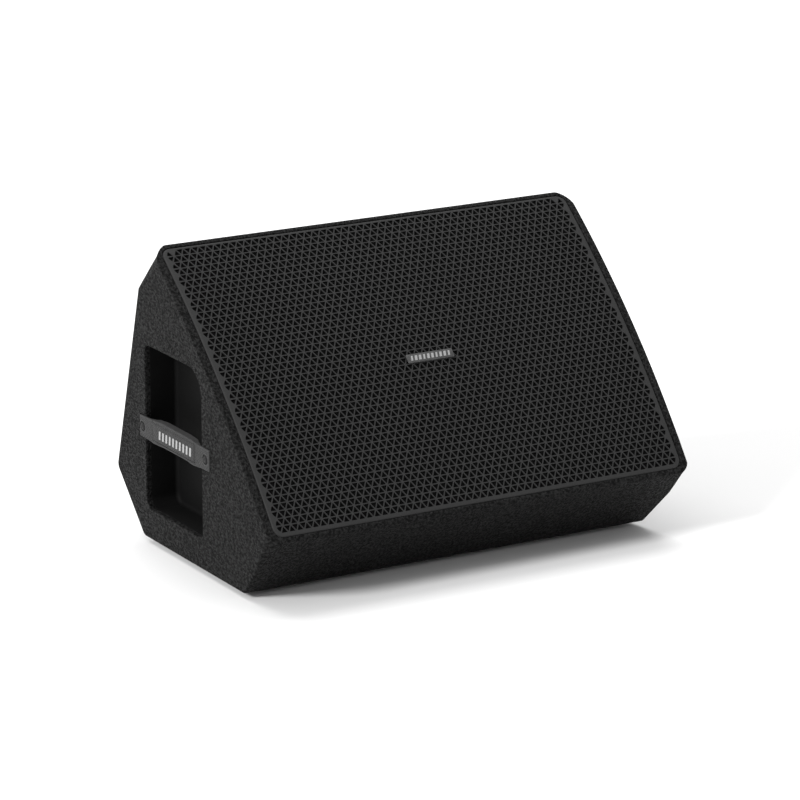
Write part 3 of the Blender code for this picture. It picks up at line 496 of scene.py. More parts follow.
# ---- mesh helpers
SHARP_ANGLE = 32.0              # edges that turn by more degrees than this are shaded as sharp


def new_piece(name, mesh_data, finish, sharp=SHARP_ANGLE):
    """A smooth-shaded object from a bmesh, which it uses up."""
    bmesh.ops.recalc_face_normals(mesh_data, faces=mesh_data.faces)
    mesh = bpy.data.meshes.new(name)
    mesh_data.to_mesh(mesh)
    mesh_data.free()
    mesh.shade_smooth()
    mesh.set_sharp_from_angle(angle=math.radians(sharp))
    if finish is not None:
        mesh.materials.append(finish)
    piece = bpy.data.objects.new(name, mesh)
    bpy.context.collection.objects.link(piece)
    return piece


def keep(piece, slot, *replaced, body="cabinet"):
    """The piece rides on its body and stands for the CAD nodes it replaces."""
    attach(piece, body)
    if replaced:
        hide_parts(*replaced)


def add_skin(mesh_data, rings):
    """Quads between neighbouring rings of equally many vertices."""
    for ring, following in zip(rings, rings[1:]):
        for (first, second), (fourth, third) in zip(looped(ring), looped(following)):
            mesh_data.faces.new((first, second, third, fourth))


def add_loops(mesh_data, loops):
    """Closed skin through loops of equally many points."""
    rings = [[mesh_data.verts.new(point) for point in loop] for loop in loops]
    add_skin(mesh_data, rings)
    mesh_data.faces.new(rings[0])
    mesh_data.faces.new(rings[-1])


def loft(loops):
    mesh_data = bmesh.new()
    add_loops(mesh_data, loops)
    return mesh_data


def cutter(loops):
    return new_piece("cutter", loft(loops), None)


def add_turned(mesh_data, profile, segments, place):
    """Solid of revolution round a frame's Z axis from a closed outline of (radius, z) points."""
    rings = []
    for radius, z in profile:
        count = segments if radius > 0.0 else 1
        rings.append([mesh_data.verts.new(place @ Vector((x, y, z))) for x, y in circle(0.0, 0.0, radius, count)])
    for ring, following in looped(rings):
        for step in range(segments):
            after = (step + 1) % segments
            corners = [ring[step % len(ring)], ring[after % len(ring)]]
            corners += [following[after % len(following)], following[step % len(following)]]
            corners = list(dict.fromkeys(corners))
            if len(corners) > 2:
                mesh_data.faces.new(corners)


def turned(profile, segments, place):
    mesh_data = bmesh.new()
    add_turned(mesh_data, profile, segments, place)
    return mesh_data


def carved(piece, cutters, operation="DIFFERENCE"):
    """Applies Boolean cuts to the piece and removes the cutters."""
    for solid in cutters:
        modifier = piece.modifiers.new("cut", "BOOLEAN")
        modifier.operation = operation
        modifier.solver = "EXACT"
        modifier.object = solid
    bpy.context.view_layer.update()
    evaluated = piece.evaluated_get(bpy.context.evaluated_depsgraph_get())
    mesh = bpy.data.meshes.new_from_object(evaluated)
    piece.modifiers.clear()
    piece.data = mesh
    mesh.name = piece.name
    for solid in cutters:
        bpy.data.objects.remove(solid)
    mesh.shade_smooth()
    mesh.set_sharp_from_angle(angle=math.radians(SHARP_ANGLE))


def weighted(piece):
    """Shading normals that keep large flat faces flat beside rounded edges."""
    modifier = piece.modifiers.new("weighted_normals", "WEIGHTED_NORMAL")
    modifier.keep_sharp = True
    modifier.weight = 80


# ---- cabinet
def pocket_outline(offset, limit=None):
    """Outline of the pocket's mouth, moved outwards by offset, counterclockwise in the side view.

    With a limit, it gets a point wherever it crosses that outward distance.
    """
    corners = inset_corners([corner for corner, _ in reversed(POCKET)], -offset)
    points = rounded(corners, [radius + offset for _, radius in reversed(POCKET)], 10)
    if limit is None:
        return points
    crossed = []
    for start, end in looped(points):
        crossed.append(start)
        from_start, from_end = (outward_distance(point) - limit for point in (start, end))
        if from_start * from_end < 0.0:
            crossed.append(between(start, end, from_start / (from_start - from_end)))
    return crossed


def kept_behind(points, limit):
    kept = []
    for point in points:
        excess = max(outward_distance(point) - limit, 0.0)
        kept.append((point[0] - OUTWARDS[0] * excess, point[1] - OUTWARDS[1] * excess))
    return kept


def side_prism(side, outline, depth_from, depth_to):
    return cutter(side_loops(side, ((outline, depth_from), (outline, depth_to))))


def pocket_mouth_cutter(side):
    """The pocket's mouth with its outer edge rounded over."""
    lip = 0.0016
    sections = [(pocket_outline(lip), -0.006), (pocket_outline(lip), -0.0002)]
    sections += [(pocket_outline(lip * falling), lip * rising) for falling, rising in quarter_turn(5)]
    sections.append((pocket_outline(0.0), PANEL + 0.004))
    return cutter(side_loops(side, sections))


def divided(outline, across, along):
    """Outline of a rounded rectangle with its long sides cut into equal steps."""
    found = []
    for point, after in looped(outline):
        pieces = 1
        if math.dist(point, after) > 0.1:
            pieces = across if abs(after[0] - point[0]) > abs(after[1] - point[1]) else along
        found += [between(point, after, part / pieces) for part in range(pieces)]
    return found


PERIMETER_RADIUS = 0.0015
# depth under the front, with the corner radius below and above
PERIMETER_CORNERS = (
    (-0.105, 0.0012, 0.0012), (-0.086, 0.0012, 0.0012), (-0.073, 0.0012, 0.0040), (-0.059, 0.0012, 0.0090),
    (-0.046, 0.0040, 0.0142), (-0.032, 0.0080, 0.0195), (-0.019, 0.0120, 0.0248), (-0.009, 0.0150, 0.0288),
)
PERIMETER_CORNER = (0.0160, 0.0295)
PERIMETER_STEPS = (30, 30)      # along the long sides and the short sides, enough to follow the bulge
RECESS_STEPS = (43, 28)


def front_perimeter():
    """Solid that keeps the cabinet's front corners rounded in plan and its front edges rounded over."""
    margin = 0.0004
    top_lean = lean_of(BROW, SHOULDER)
    toe_lean = lean_of(TOE, BOTTOM_FRONT)

    def loop(radii, inset, z, follows):
        half_x = FRONT_HALF_WIDTH + margin - inset
        half_y = FRONT_HALF_HEIGHT + margin - inset
        low, high = (rounded_rectangle(half_x, half_y, radius, 10) for radius in radii)
        outline = [b if b[1] > 0.0 else a for a, b in zip(low, high)]
        points = []
        for x, y in divided(outline, *PERIMETER_STEPS):
            level = z + (bulge(y) if follows else 0.0)
            lean = top_lean if y > 0.0 else toe_lean
            wider = math.copysign(1.0, x) * SIDE_TAPER * level
            points.append(on_baffle(x + wider, y - lean * min(z, 0.0), level))
        return points

    far = 0.6                       # well past the cabinet
    wide = divided(rounded_rectangle(far, far, 0.0012, 10), *PERIMETER_STEPS)
    loops = [baffle_loop(wide, z) for z in (-far, PERIMETER_CORNERS[0][0])]
    loops += [loop(radii, 0.0, z, False) for z, *radii in PERIMETER_CORNERS]
    for falling, rising in quarter_turn(7, 0):
        inset = PERIMETER_RADIUS * rising
        radii = [radius - inset for radius in PERIMETER_CORNER]
        loops.append(loop(radii, inset, -PERIMETER_RADIUS * falling, True))
    radii = [radius - PERIMETER_RADIUS for radius in PERIMETER_CORNER]
    loops.append(loop(radii, PERIMETER_RADIUS, 0.04, True))
    return cutter(loops)


def grille_recess_cutter():
    """Rebate for the grille, with its top edge rounded over along the bulging front."""
    lip = 0.0012

    def outline(offset):
        offset += GAP
        half_x, half_y = GRILLE_HALF_WIDTH + offset, GRILLE_HALF_HEIGHT + offset
        base = rounded_rectangle(half_x, half_y, GRILLE_CORNER + offset, 10)
        return [(x, y + GRILLE_MIDDLE) for x, y in divided(base, *RECESS_STEPS)]

    loops = [baffle_loop(outline(lip), 0.05)]
    loops += [baffle_loop(outline(lip), height, True) for height in (0.004, 0.0002)]
    loops += [baffle_loop(outline(lip * falling), -lip * rising, True) for falling, rising in quarter_turn(4)]
    loops.append(baffle_loop(outline(0.0), GRILLE_EDGE_Z - GAP))
    return cutter(loops)


def cavity_cutter():
    """Inside of the cabinet, open towards the grille."""
    inner = inset_corners(SHARP_CORNERS, PANEL)
    front_line = from_baffle(0.0, GRILLE_EDGE_Z + 0.002)
    top = line_meet(inner[3], direction(SHOULDER, BROW), front_line, UP_SLOPE)
    low = line_meet(inner[0], direction(TOE, BOTTOM_FRONT), front_line, UP_SLOPE)
    section = inner[:4] + [top, low]
    return cutter([[side_world(side, point, PANEL) for point in section] for side in (-1.0, 1.0)])


def make_shell():
    """Painted plywood carcass with its recess, hollow, pocket mouths, strap seats and plate opening."""
    sections = []
    for falling, rising in quarter_turn(8, 0):
        sections.append((cabinet_outline(SIDE_EDGE_RADIUS * rising), SIDE_EDGE_RADIUS * falling))
    shell = new_piece("cabinet_shell", loft(side_loops(-1.0, sections[::-1]) + side_loops(1.0, sections)), PAINT)

    carved(shell, [front_perimeter()], "INTERSECT")
    cutters = [cavity_cutter(), grille_recess_cutter()]
    half = STRAP_REBATE_HALF_WIDTH
    ends = (STRAP_START - STRAP_REBATE_END_GAP, STRAP_END + STRAP_REBATE_END_GAP)
    rebate = rectangle(*ends, -half, half)
    rebate = [(back - STRAP_END_SLANT * across, STRAP_UP + across) for back, across in rebate]
    seat = pocket_outline(POCKET_WALL + 2 * GAP)
    for side in (-1.0, 1.0):
        cutters.append(pocket_mouth_cutter(side))
        cutters.append(side_prism(side, seat, POCKET_LIP_DEPTH, PANEL + 0.010))
        cutters.append(side_prism(side, rebate, -0.010, STRAP_REBATE))
    cutters.append(cutter(placed(rectangle(-0.065, 0.065, -0.030, 0.030), (-0.030, 0.010), BACK_FRAME)))
    carved(shell, cutters)
    weighted(shell)
    keep(
        shell, "cabinet_paint", "side_panel_left", "side_panel_right", "bottom_panel", "lower_rear_panel",
        "back_panel", "top_rear_panel", "lower_front_panel",
    )


# ---- handle pockets and straps
def make_pocket(word, side):
    """Moulded dish with a filleted floor and a ledge at its top front corner."""
    outer = pocket_outline(POCKET_WALL, POCKET_FRONT_LIMIT + POCKET_WALL)
    outer_deep = kept_behind(outer, POCKET_FRONT_LIMIT + POCKET_WALL)
    inner = pocket_outline(0.0, POCKET_FRONT_LIMIT)
    inner_deep = kept_behind(inner, POCKET_FRONT_LIMIT)
    top = POCKET_LIP_DEPTH + GAP
    ledge_radius = 0.0012
    sections = [
        (outer_deep, POCKET_DEPTH + POCKET_WALL),
        (outer_deep, PANEL - GAP),
        (outer, PANEL - GAP - 0.0002),
        (outer, top),
        (pocket_outline(0.0003, POCKET_FRONT_LIMIT), top),
        (inner, top + 0.0003),
        (inner, POCKET_LEDGE_DEPTH - ledge_radius),
    ]
    for falling, rising in quarter_turn(4):
        blended = [between(shallow, deep, rising ** 3) for shallow, deep in zip(inner, inner_deep)]
        sections.append((blended, POCKET_LEDGE_DEPTH - ledge_radius * falling))
    for falling, rising in quarter_turn(6, 0):
        offset = POCKET_FILLET * rising
        limit = POCKET_FRONT_LIMIT - offset
        outline = kept_behind(pocket_outline(-offset, limit), limit)
        sections.append((outline, POCKET_DEPTH - POCKET_FILLET * falling))
    mesh_data = loft(side_loops(side, sections))
    bmesh.ops.remove_doubles(mesh_data, verts=mesh_data.verts, dist=1e-6)
    piece = new_piece("pocket_dish_" + word, mesh_data, PLASTIC)
    weighted(piece)
    keep(piece, "pocket_plastic", "handle_pocket_" + word)


def strap_at(back):
    """Inner face, outer face, lower edge and upper edge of the strap at a place along it."""
    for first, second in zip(STRAP_STATIONS, STRAP_STATIONS[1:]):
        if back <= second[0]:
            share = max((back - first[0]) / (second[0] - first[0]), 0.0)
            return between(first[1:], second[1:], share * share * (3.0 - 2.0 * share))
    return STRAP_STATIONS[-1][1:]


LABEL = (0.1010, 0.2100, -0.0092, 0.0112)      # back from, back to, lower and upper edge of the raised label
LABEL_RISE = 0.0009
LABEL_EDGE = 0.0003             # half the width of the label's sloping edge
STRAP_HOLE_RADIUS = 0.0062
STRAP_ROUNDING = 0.0009
SCREW_CLEAR = 0.0078            # the plain ring round each screw
EDGE_CLEAR = 0.0012
END_CLEAR = 0.0015
MARK_BARS = 10
DIMPLE_PITCH = (0.0046, 0.0020)
DIMPLE_REACH = (0.00150, 0.00078)
DIMPLE_DEPTH = 0.00120


def strap_height(back, across):
    """Height of the strap's face over its plain surface: raised label, its groove and the dimples."""
    slant = back + STRAP_END_SLANT * across
    beyond = max(LABEL[0] - slant, slant - LABEL[1], LABEL[2] - across, across - LABEL[3])
    rise = 0.0
    if beyond < -LABEL_EDGE:
        rise = LABEL_RISE
    elif beyond < LABEL_EDGE:
        rise = LABEL_RISE * (LABEL_EDGE - beyond) / (2.0 * LABEL_EDGE)
    if beyond <= 0.0:
        return rise
    if slant > LABEL[1]:
        width, depth = 0.0015, 0.0022
    elif across < LABEL[2]:
        width, depth = 0.0009, 0.0014
    else:
        width, depth = 0.0005, 0.0003
    return rise - depth * max(0.0, 1.0 - abs(beyond - width) / width)


def dimple(back, across):
    """Depth of the dimple at a place on the strap's face, zero between the dimples."""
    row = round(across / DIMPLE_PITCH[1])
    shift = 0.5 * DIMPLE_PITCH[0] * (row % 2)
    cell = round((back - shift) / DIMPLE_PITCH[0])
    off_back = (back - shift - cell * DIMPLE_PITCH[0]) / DIMPLE_REACH[0]
    off_across = (across - row * DIMPLE_PITCH[1]) / DIMPLE_REACH[1]
    return DIMPLE_DEPTH * max(0.0, 1.0 - (off_back ** 2 + off_across ** 2))


def strap_point(side, back, across, height):
    """World position on the strap, whose ends are cut at a slant that fades out towards the grip."""
    slant = max(0.0, 1.0 - min(back - STRAP_START, STRAP_END - back) / 0.024)
    return side_world(side, (back - STRAP_END_SLANT * across * slant, STRAP_UP + across), -height)


def make_strap(word, side):
    """Moulded strap: a fine face grid with dimples, a raised label and rounded edges."""
    along = 330
    over = 52
    round_to = STRAP_ROUNDING
    loops = []
    for index in range(along + 1):
        back = STRAP_START + (STRAP_END - STRAP_START) * index / along
        inner, outer, low, high = strap_at(back)
        fade = min(1.0, (back - STRAP_START) / round_to, (STRAP_END - back) / round_to)
        edge = round_to * math.sqrt(max(0.0, 1.0 - (1.0 - max(fade, 0.0)) ** 2)) - round_to
        loop = []
        for step in range(over + 1):
            across = low + (high - low) * step / over
            near = min(across - low, high - across)
            drop = 0.0
            if near < round_to:
                drop = round_to - math.sqrt(max(round_to ** 2 - (round_to - near) ** 2, 0.0))
            height = outer - drop + edge + strap_height(back, across)
            clear = all(math.hypot(back - place, across) > SCREW_CLEAR for place in STRAP_SCREWS.values())
            if near > EDGE_CLEAR and clear and min(back - STRAP_START, STRAP_END - back) > END_CLEAR:
                height -= dimple(back, across)
            loop.append(strap_point(side, back, across, height))
        loop += [strap_point(side, back, high - (high - low) * share, inner) for share in (0.0, 0.5, 1.0)]
        loops.append(loop)
    piece = new_piece("strap_" + word, loft(loops), STRAP, 50.0)
    holes = [circle(back, STRAP_UP, STRAP_HOLE_RADIUS, 40) for back in STRAP_SCREWS.values()]
    carved(piece, [side_prism(side, hole, -0.01, 0.01) for hole in holes])
    keep(piece, "strap_rubber", "handle_strap_" + word)


def make_strap_mark(word, side):
    """Generic row of slanted bars on the strap's label."""
    mesh_data = bmesh.new()
    width = 0.0042
    first, last = 0.1095, 0.1895
    for number in range(MARK_BARS):
        middle = first + (last - first) * number / (MARK_BARS - 1)
        outline = []
        for x, across in rectangle(-0.5, 0.5, -0.0046, 0.0058):
            outline.append((middle + x * width - 0.22 * across, STRAP_UP + across))
        loops = []
        for height in (0.0, LABEL_RISE + 0.00018):
            loops.append([side_world(side, point, -(strap_at(point[0])[1] + height)) for point in outline])
        add_loops(mesh_data, loops)
    piece = new_piece("strap_mark_" + word, mesh_data, PRINT)
    keep(piece, "badge")


def make_handle_screw(word, side, place):
    """Cup washer with a domed, cross-recessed head, sunk in the strap's end."""
    back = STRAP_SCREWS[place]
    profile = (
        (0.0061, -0.0012), (0.0061, -0.0002), (0.0059, 0.0002), (0.0051, 0.0000), (0.0046, -0.0004),
        (0.0044, -0.0004), (0.0043, 0.0006), (0.0038, 0.0015), (0.0028, 0.0021), (0.0014, 0.0024),
    )
    sections = [(circle(back, STRAP_UP, radius, 40), -height) for radius, height in profile]
    piece = new_piece("handle_screw_head_%s_%s" % (word, place), loft(side_loops(side, sections)), BLACK_STEEL)
    cutters = []
    for turn in (0.3, 0.3 + math.pi / 2.0):
        along = (math.cos(turn), math.sin(turn))
        outline = []
        for a, b in rectangle(-0.0017, 0.0017, -0.0003, 0.0003):
            outline.append((back + along[0] * a - along[1] * b, STRAP_UP + along[1] * a + along[0] * b))
        cutters.append(side_prism(side, outline, -0.006, -0.0011))
    carved(piece, cutters)
    keep(piece, "screw_steel", "handle_screw_%s_%s" % (word, place))


# ---- grille, foam and badge
PITCH = 0.010
ROW = PITCH * math.sqrt(3.0) / 2.0
ROWS = 42
WEB = 0.0012
HOLE_CORNER = 0.0006
SLICE_RADIUS = 0.0083
FOLD = 0.0020
OUTER_NODE = 0.260              # x of the nodes that the outer slices surround


def line_nodes(level):
    """x of the lattice's nodes on one row line, which reaches half a pitch further on every other line."""
    if level % 2 == 0:
        return [-OUTER_NODE + PITCH * index for index in range(53)]
    return [-0.265 + PITCH * index for index in range(54)]


def spoke(angle):
    return Vector((math.cos(angle), math.sin(angle)))


def hole_polygon(corners):
    """Points of a triangular hole with its corners cut off: one pair for each corner of the cell."""
    centre = sum(corners, Vector((0.0, 0.0))) / 3.0
    reach = PITCH / (2.0 * math.sqrt(3.0))
    scale = (reach - WEB / 2.0) / reach
    inner = [centre + (corner - centre) * scale for corner in corners]
    pairs = []
    for before, corner, after in with_neighbours(inner):
        pairs.append([corner + (other - corner).normalized() * HOLE_CORNER for other in (before, after)])
    return pairs


def slice_polygon(node, start, side):
    """Hole in the shape of a slice of a disc round an outer node, between two webs."""
    half = WEB / 2.0
    points = []
    corner = node + spoke(start + side * math.pi / 6.0) * WEB
    points.append(corner + spoke(start) * HOLE_CORNER)
    turn = math.asin(half / SLICE_RADIUS)
    steps = 7
    for step in range(steps + 1):
        angle = start + side * (turn + 0.05 + (math.pi / 3.0 - 2.0 * turn - 0.10) * step / steps)
        points.append(node + spoke(angle) * SLICE_RADIUS)
    points.append(corner + spoke(start + side * math.pi / 3.0) * HOLE_CORNER)
    return points if side > 0.0 else points[::-1]


def grille_outline(inset):
    """Grille's rounded outline, with points at most 6 mm apart."""
    base = rounded_rectangle(GRILLE_HALF_WIDTH - inset, GRILLE_HALF_HEIGHT - inset, GRILLE_CORNER - inset, 10)
    outline = []
    for point, after in looped(base):
        length = math.dist(point, after)
        pieces = max(1, round(length / 0.006)) if length > 0.05 else 1
        for part in range(pieces):
            x, y = between(point, after, part / pieces)
            outline.append((x, y + GRILLE_MIDDLE))
    return outline


def make_grille():
    """Perforated sheet with folded edges: triangles on an isometric lattice, slices of discs at its sides."""
    flat_points = []
    flat_faces = []
    holes = []
    index_of = {}

    def point_index(point):
        key = (round(point[0], 6), round(point[1], 6))
        if key not in index_of:
            index_of[key] = len(flat_points)
            flat_points.append((point[0], point[1]))
        return index_of[key]

    half_rows = ROWS // 2
    left_side, right_side = [], []
    for level in range(-half_rows, half_rows + 1):
        nodes = line_nodes(level)
        left_side.append((nodes[0], ROW * level))
        right_side.append((nodes[-1], ROW * level))
    bottom = [(x, -ROW * half_rows) for x in line_nodes(half_rows)]
    top = [(x, ROW * half_rows) for x in line_nodes(half_rows)[1:-1]]
    boundary = bottom + right_side[1:-1] + top[::-1] + left_side[1:-1][::-1]

    for row in range(-half_rows, half_rows):
        low_nodes = [Vector((x, ROW * row)) for x in line_nodes(row)]
        high_nodes = [Vector((x, ROW * (row + 1))) for x in line_nodes(row + 1)]
        cells = []
        narrow, wide = sorted((low_nodes, high_nodes), key=len)
        for index, node in enumerate(narrow):
            corner_cell = row == half_rows - 1 and index in (0, len(narrow) - 1)
            if not corner_cell:
                cells.append((node, wide[index], wide[index + 1]))
            if index + 1 < len(narrow):
                cells.append((node, wide[index + 1], narrow[index + 1]))
        for cell in cells:
            corners = list(cell)
            if (corners[1] - corners[0]).cross(corners[2] - corners[0]) < 0.0:
                corners.reverse()
            pairs = hole_polygon(corners)
            outer = [point_index(corner) for corner in corners]
            inner = [(point_index(a), point_index(b)) for a, b in pairs]
            for (corner, after), (near, far) in zip(looped(outer), looped(inner)):
                flat_faces.append((corner, after, far[0], near[1]))
                flat_faces.append((corner, near[1], near[0]))
            holes.append([number for pair in inner for number in pair])

    slices = []
    for level in range(-half_rows + 1, half_rows, 2):
        y = ROW * level
        for x, start in ((-OUTER_NODE, math.pi), (OUTER_NODE, 0.0)):
            for side in (1.0, -1.0):
                slices.append(slice_polygon(Vector((x, y)), start, side))

    # the rim between the lattice and the folded edge
    rim_outline = grille_outline(FOLD)
    loops = [rim_outline, boundary] + [[tuple(point) for point in polygon] for polygon in slices]
    points, faces = [], []
    for loop in loops:
        faces.append(list(range(len(points), len(points) + len(loop))))
        points += loop
    vectors = [Vector(point) for point in points]
    _, _, made_faces, sources, _, origins = delaunay_2d_cdt(vectors, [], faces, 1, 1e-7)
    for face, origin in zip(made_faces, origins):
        if list(origin) == [0]:
            flat_faces.append(tuple(point_index(points[sources[number][0]]) for number in face))
    for polygon in slices:
        holes.append([point_index(point) for point in polygon])

    mesh_data = bmesh.new()

    def ring(outline, drop):
        """Vertices that lie drop under the bulging front."""
        return [mesh_data.verts.new(point) for point in baffle_loop(outline, -drop, True)]

    upper, lower = ring(flat_points, 0.0), ring(flat_points, VISIBLE_SHEET)
    for face in flat_faces:
        mesh_data.faces.new([upper[number] for number in face])
        mesh_data.faces.new([lower[number] for number in reversed(face)])
    for hole in holes:
        for number, after in looped(hole):
            mesh_data.faces.new((upper[number], upper[after], lower[after], lower[number]))

    # folded edge: rounded outside and inside, then straight down into the rebate
    outer_rings = [[upper[point_index(point)] for point in rim_outline]]
    inner_rings = [[lower[point_index(point)] for point in rim_outline]]
    small = FOLD - VISIBLE_SHEET
    for falling, rising in quarter_turn(5):
        outer_rings.append(ring(grille_outline(FOLD * falling), FOLD * rising))
        inset = VISIBLE_SHEET + small * falling
        inner_rings.append(ring(grille_outline(inset), VISIBLE_SHEET + small * rising))
    for rings, inset in ((outer_rings, 0.0), (inner_rings, VISIBLE_SHEET)):
        edge = baffle_loop(grille_outline(inset), GRILLE_EDGE_Z)
        rings.append([mesh_data.verts.new(point) for point in edge])
    for rings in (outer_rings, inner_rings, [outer_rings[-1], inner_rings[-1]]):
        add_skin(mesh_data, rings)
    loose = [vertex for vertex in mesh_data.verts if not vertex.link_faces]
    bmesh.ops.delete(mesh_data, geom=loose, context="VERTS")
    piece = new_piece("perforated_grille", mesh_data, GRILLE_STEEL, 35.0)
    keep(piece, "grille_steel", "grille")


def make_foam():
    """Foam sheet behind the grille, with the faint unevenness of a glued-in pad."""
    inset = GRILLE_SHEET + GAP + 0.0005
    half_x = GRILLE_HALF_WIDTH - inset
    low, high = GRILLE_BOTTOM + inset, GRILLE_TOP - inset
    top = GRILLE_SHEET + GAP
    ripple = 0.0003
    columns, rows = 120, 84
    mesh_data = bmesh.new()
    layers = []
    for depth in (top + 0.0004, top + 0.0078):
        grid = []
        for row in range(rows + 1):
            y = low + (high - low) * row / rows
            line = []
            for column in range(columns + 1):
                x = -half_x + 2.0 * half_x * column / columns
                wave = noise.noise(Vector((x * 60.0, y * 60.0, depth * 900.0)))
                z = max(bulge(y) - depth + ripple * wave, GRILLE_EDGE_Z + 0.0005)
                line.append(mesh_data.verts.new(on_baffle(x, y, z)))
            grid.append(line)
        layers.append(grid)
    for grid in layers:
        for near, far in zip(grid, grid[1:]):
            for column in range(columns):
                mesh_data.faces.new((near[column], near[column + 1], far[column + 1], far[column]))

    def rim(grid):
        ring = grid[0][:-1] + [line[-1] for line in grid[:-1]]
        return ring + grid[-1][:0:-1] + [line[0] for line in grid[:0:-1]]

    add_skin(mesh_data, [rim(grid) for grid in layers])
    piece = new_piece("foam_sheet", mesh_data, open_foam())
    keep(piece, "foam", "grille_foam")


def make_badge():
    """Small plate with softened edges and a generic row of slanted bars."""
    length, width, thickness = BADGE
    level = bulge(0.0) + GAP
    soft = 0.0005
    levels = (
        (soft, 0.0), (0.0, soft * 0.6), (0.0, thickness - soft), (soft * 0.3, thickness - soft * 0.3),
        (soft, thickness),
    )
    loops = []
    for inset, z in levels:
        outline = rounded_rectangle(length / 2.0 - inset, width / 2.0 - inset, 0.0016 - inset, 5)
        loops.append([on_baffle(x, y + BADGE_Y, level + z) for x, y in outline])
    plate = new_piece("badge_plate", loft(loops), black_steel("badge_paint", 0.05))
    keep(plate, "badge", "badge")

    mesh_data = bmesh.new()
    top = level + thickness
    for number in range(MARK_BARS):
        middle = -0.0248 + 0.0496 * number / (MARK_BARS - 1)
        bar = 0.0031 if number % 3 else 0.0023
        outline = []
        for x, y in rectangle(-0.5, 0.5, -0.0030, 0.0030):
            outline.append((middle + x * bar + 0.25 * y, y + BADGE_Y))
        add_loops(mesh_data, [baffle_loop(outline, z) for z in (top - 0.0003, top + 0.00025)])
    keep(new_piece("badge_mark", mesh_data, PRINT), "badge")


# ---- back plate, sockets and feet
def make_input_plate():
    """Back plate with softened edges, round openings, corner screws and a raised border for the legend."""
    half_x, half_y, thickness = PLATE[0] / 2.0, PLATE[1] / 2.0, PLATE[2]
    top = GAP + thickness
    soft = 0.0006
    levels = ((0.0, GAP), (0.0, top - soft), (soft * 0.3, top - soft * 0.3), (soft, top))
    loops = []
    for inset, z in levels:
        loops += placed(rounded_rectangle(half_x - inset, half_y - inset, 0.004 - inset, 6), (z,), BACK_FRAME)
    plate = new_piece("back_plate", loft(loops), BLACK_STEEL)
    openings = [circle(-x, 0.0, 0.0123, 48) for x in SOCKET_X]
    carved(plate, [cutter(placed(opening, (-0.01, 0.02), BACK_FRAME)) for opening in openings])
    keep(plate, "plate_steel", "input_plate")

    mesh_data = bmesh.new()
    for x in (-0.073, 0.073):
        for y in (-0.038, 0.038):
            place = BACK_FRAME @ Matrix.Translation((x, y, top))
            add_turned(mesh_data, (
                (0.0, 0.00005), (0.0038, 0.00005), (0.0038, 0.0006), (0.0034, 0.0013), (0.0024, 0.0019),
                (0.0015, 0.0021), (0.0013, 0.0012), (0.0, 0.0011),
            ), 24, place)
    keep(new_piece("plate_screws", mesh_data, black_steel("blackened_screws", 0.03)), "screw_steel")

    mesh_data = bmesh.new()
    print_low, print_high = top - 0.0001, top + 0.00012
    inner, outer = 0.0192, 0.0198
    steps = 30
    for x in SOCKET_X:
        for start, end in ((0.15, 2.99), (3.29, 6.13)):
            loops = []
            for step in range(steps + 1):
                angle = start + (end - start) * step / steps
                section = rectangle(inner, outer, print_low, print_high)
                loops.append([
                    BACK_FRAME @ Vector((-x + radius * math.cos(angle), radius * math.sin(angle), z))
                    for radius, z in section
                ])
            add_loops(mesh_data, loops)
    for y in (-0.0405, 0.0405):
        line = rectangle(-0.062, 0.062, y - 0.0003, y + 0.0003)
        add_loops(mesh_data, placed(line, (print_low, print_high), BACK_FRAME))
    keep(new_piece("plate_print", mesh_data, PRINT), "plate_steel")


def make_socket(number, x):
    """Round twist-lock speaker socket: square-shouldered flange, bore with keyways and a contact core."""
    place = BACK_FRAME @ Matrix.Translation((-x, 0.0, 0.0))
    face = GAP + PLATE[2] + GAP
    mesh_data = turned((
        (0.0, -0.018), (0.0120, -0.018), (0.0120, face), (0.0155, face), (0.0155, face + 0.0012),
        (0.0149, face + 0.0018), (0.0112, face + 0.0018), (0.0104, face + 0.0014), (0.0100, face + 0.0006),
        (0.0098, -0.0120), (0.0, -0.0120),
    ), 64, place)
    nylon = moulded_plastic("socket_nylon_%d" % number, 0.014, (0.4, 0.55))
    socket = new_piece("socket_%d" % number, mesh_data, nylon)
    cutters = []
    outline = rounded_rectangle(0.0013, 0.0018, 0.0004, 3)
    for turn in (0.35, 0.35 + 2.3, 0.35 + 4.1):
        keyway = Matrix.Rotation(turn, 4, "Z") @ Matrix.Translation((0.0100, 0.0, 0.0))
        cutters.append(cutter(placed(outline, (-0.0100, 0.01), place @ keyway)))
    carved(socket, cutters)
    keep(socket, "socket_plastic", "speaker_socket_%d" % number)
    core = turned((
        (0.0, -0.0119), (0.0058, -0.0119), (0.0058, -0.0026), (0.0053, -0.0020), (0.0030, -0.0020),
        (0.0026, -0.0030), (0.0026, -0.0060), (0.0, -0.0060),
    ), 40, place)
    keep(new_piece("socket_core_%d" % number, core, BLACK_STEEL), "socket_plastic")
    blades = bmesh.new()
    outline = rounded_rectangle(0.0005, 0.0014, 0.0003, 2)
    for turn in range(4):
        at = place @ Matrix.Rotation(turn * math.pi / 2.0 + 0.5, 4, "Z") @ Matrix.Translation((0.0088, 0.0, 0.0))
        add_loops(blades, placed(outline, (-0.0118, -0.0040), at))
    keep(new_piece("socket_contacts_%d" % number, blades, BARE_STEEL), "plated_steel")


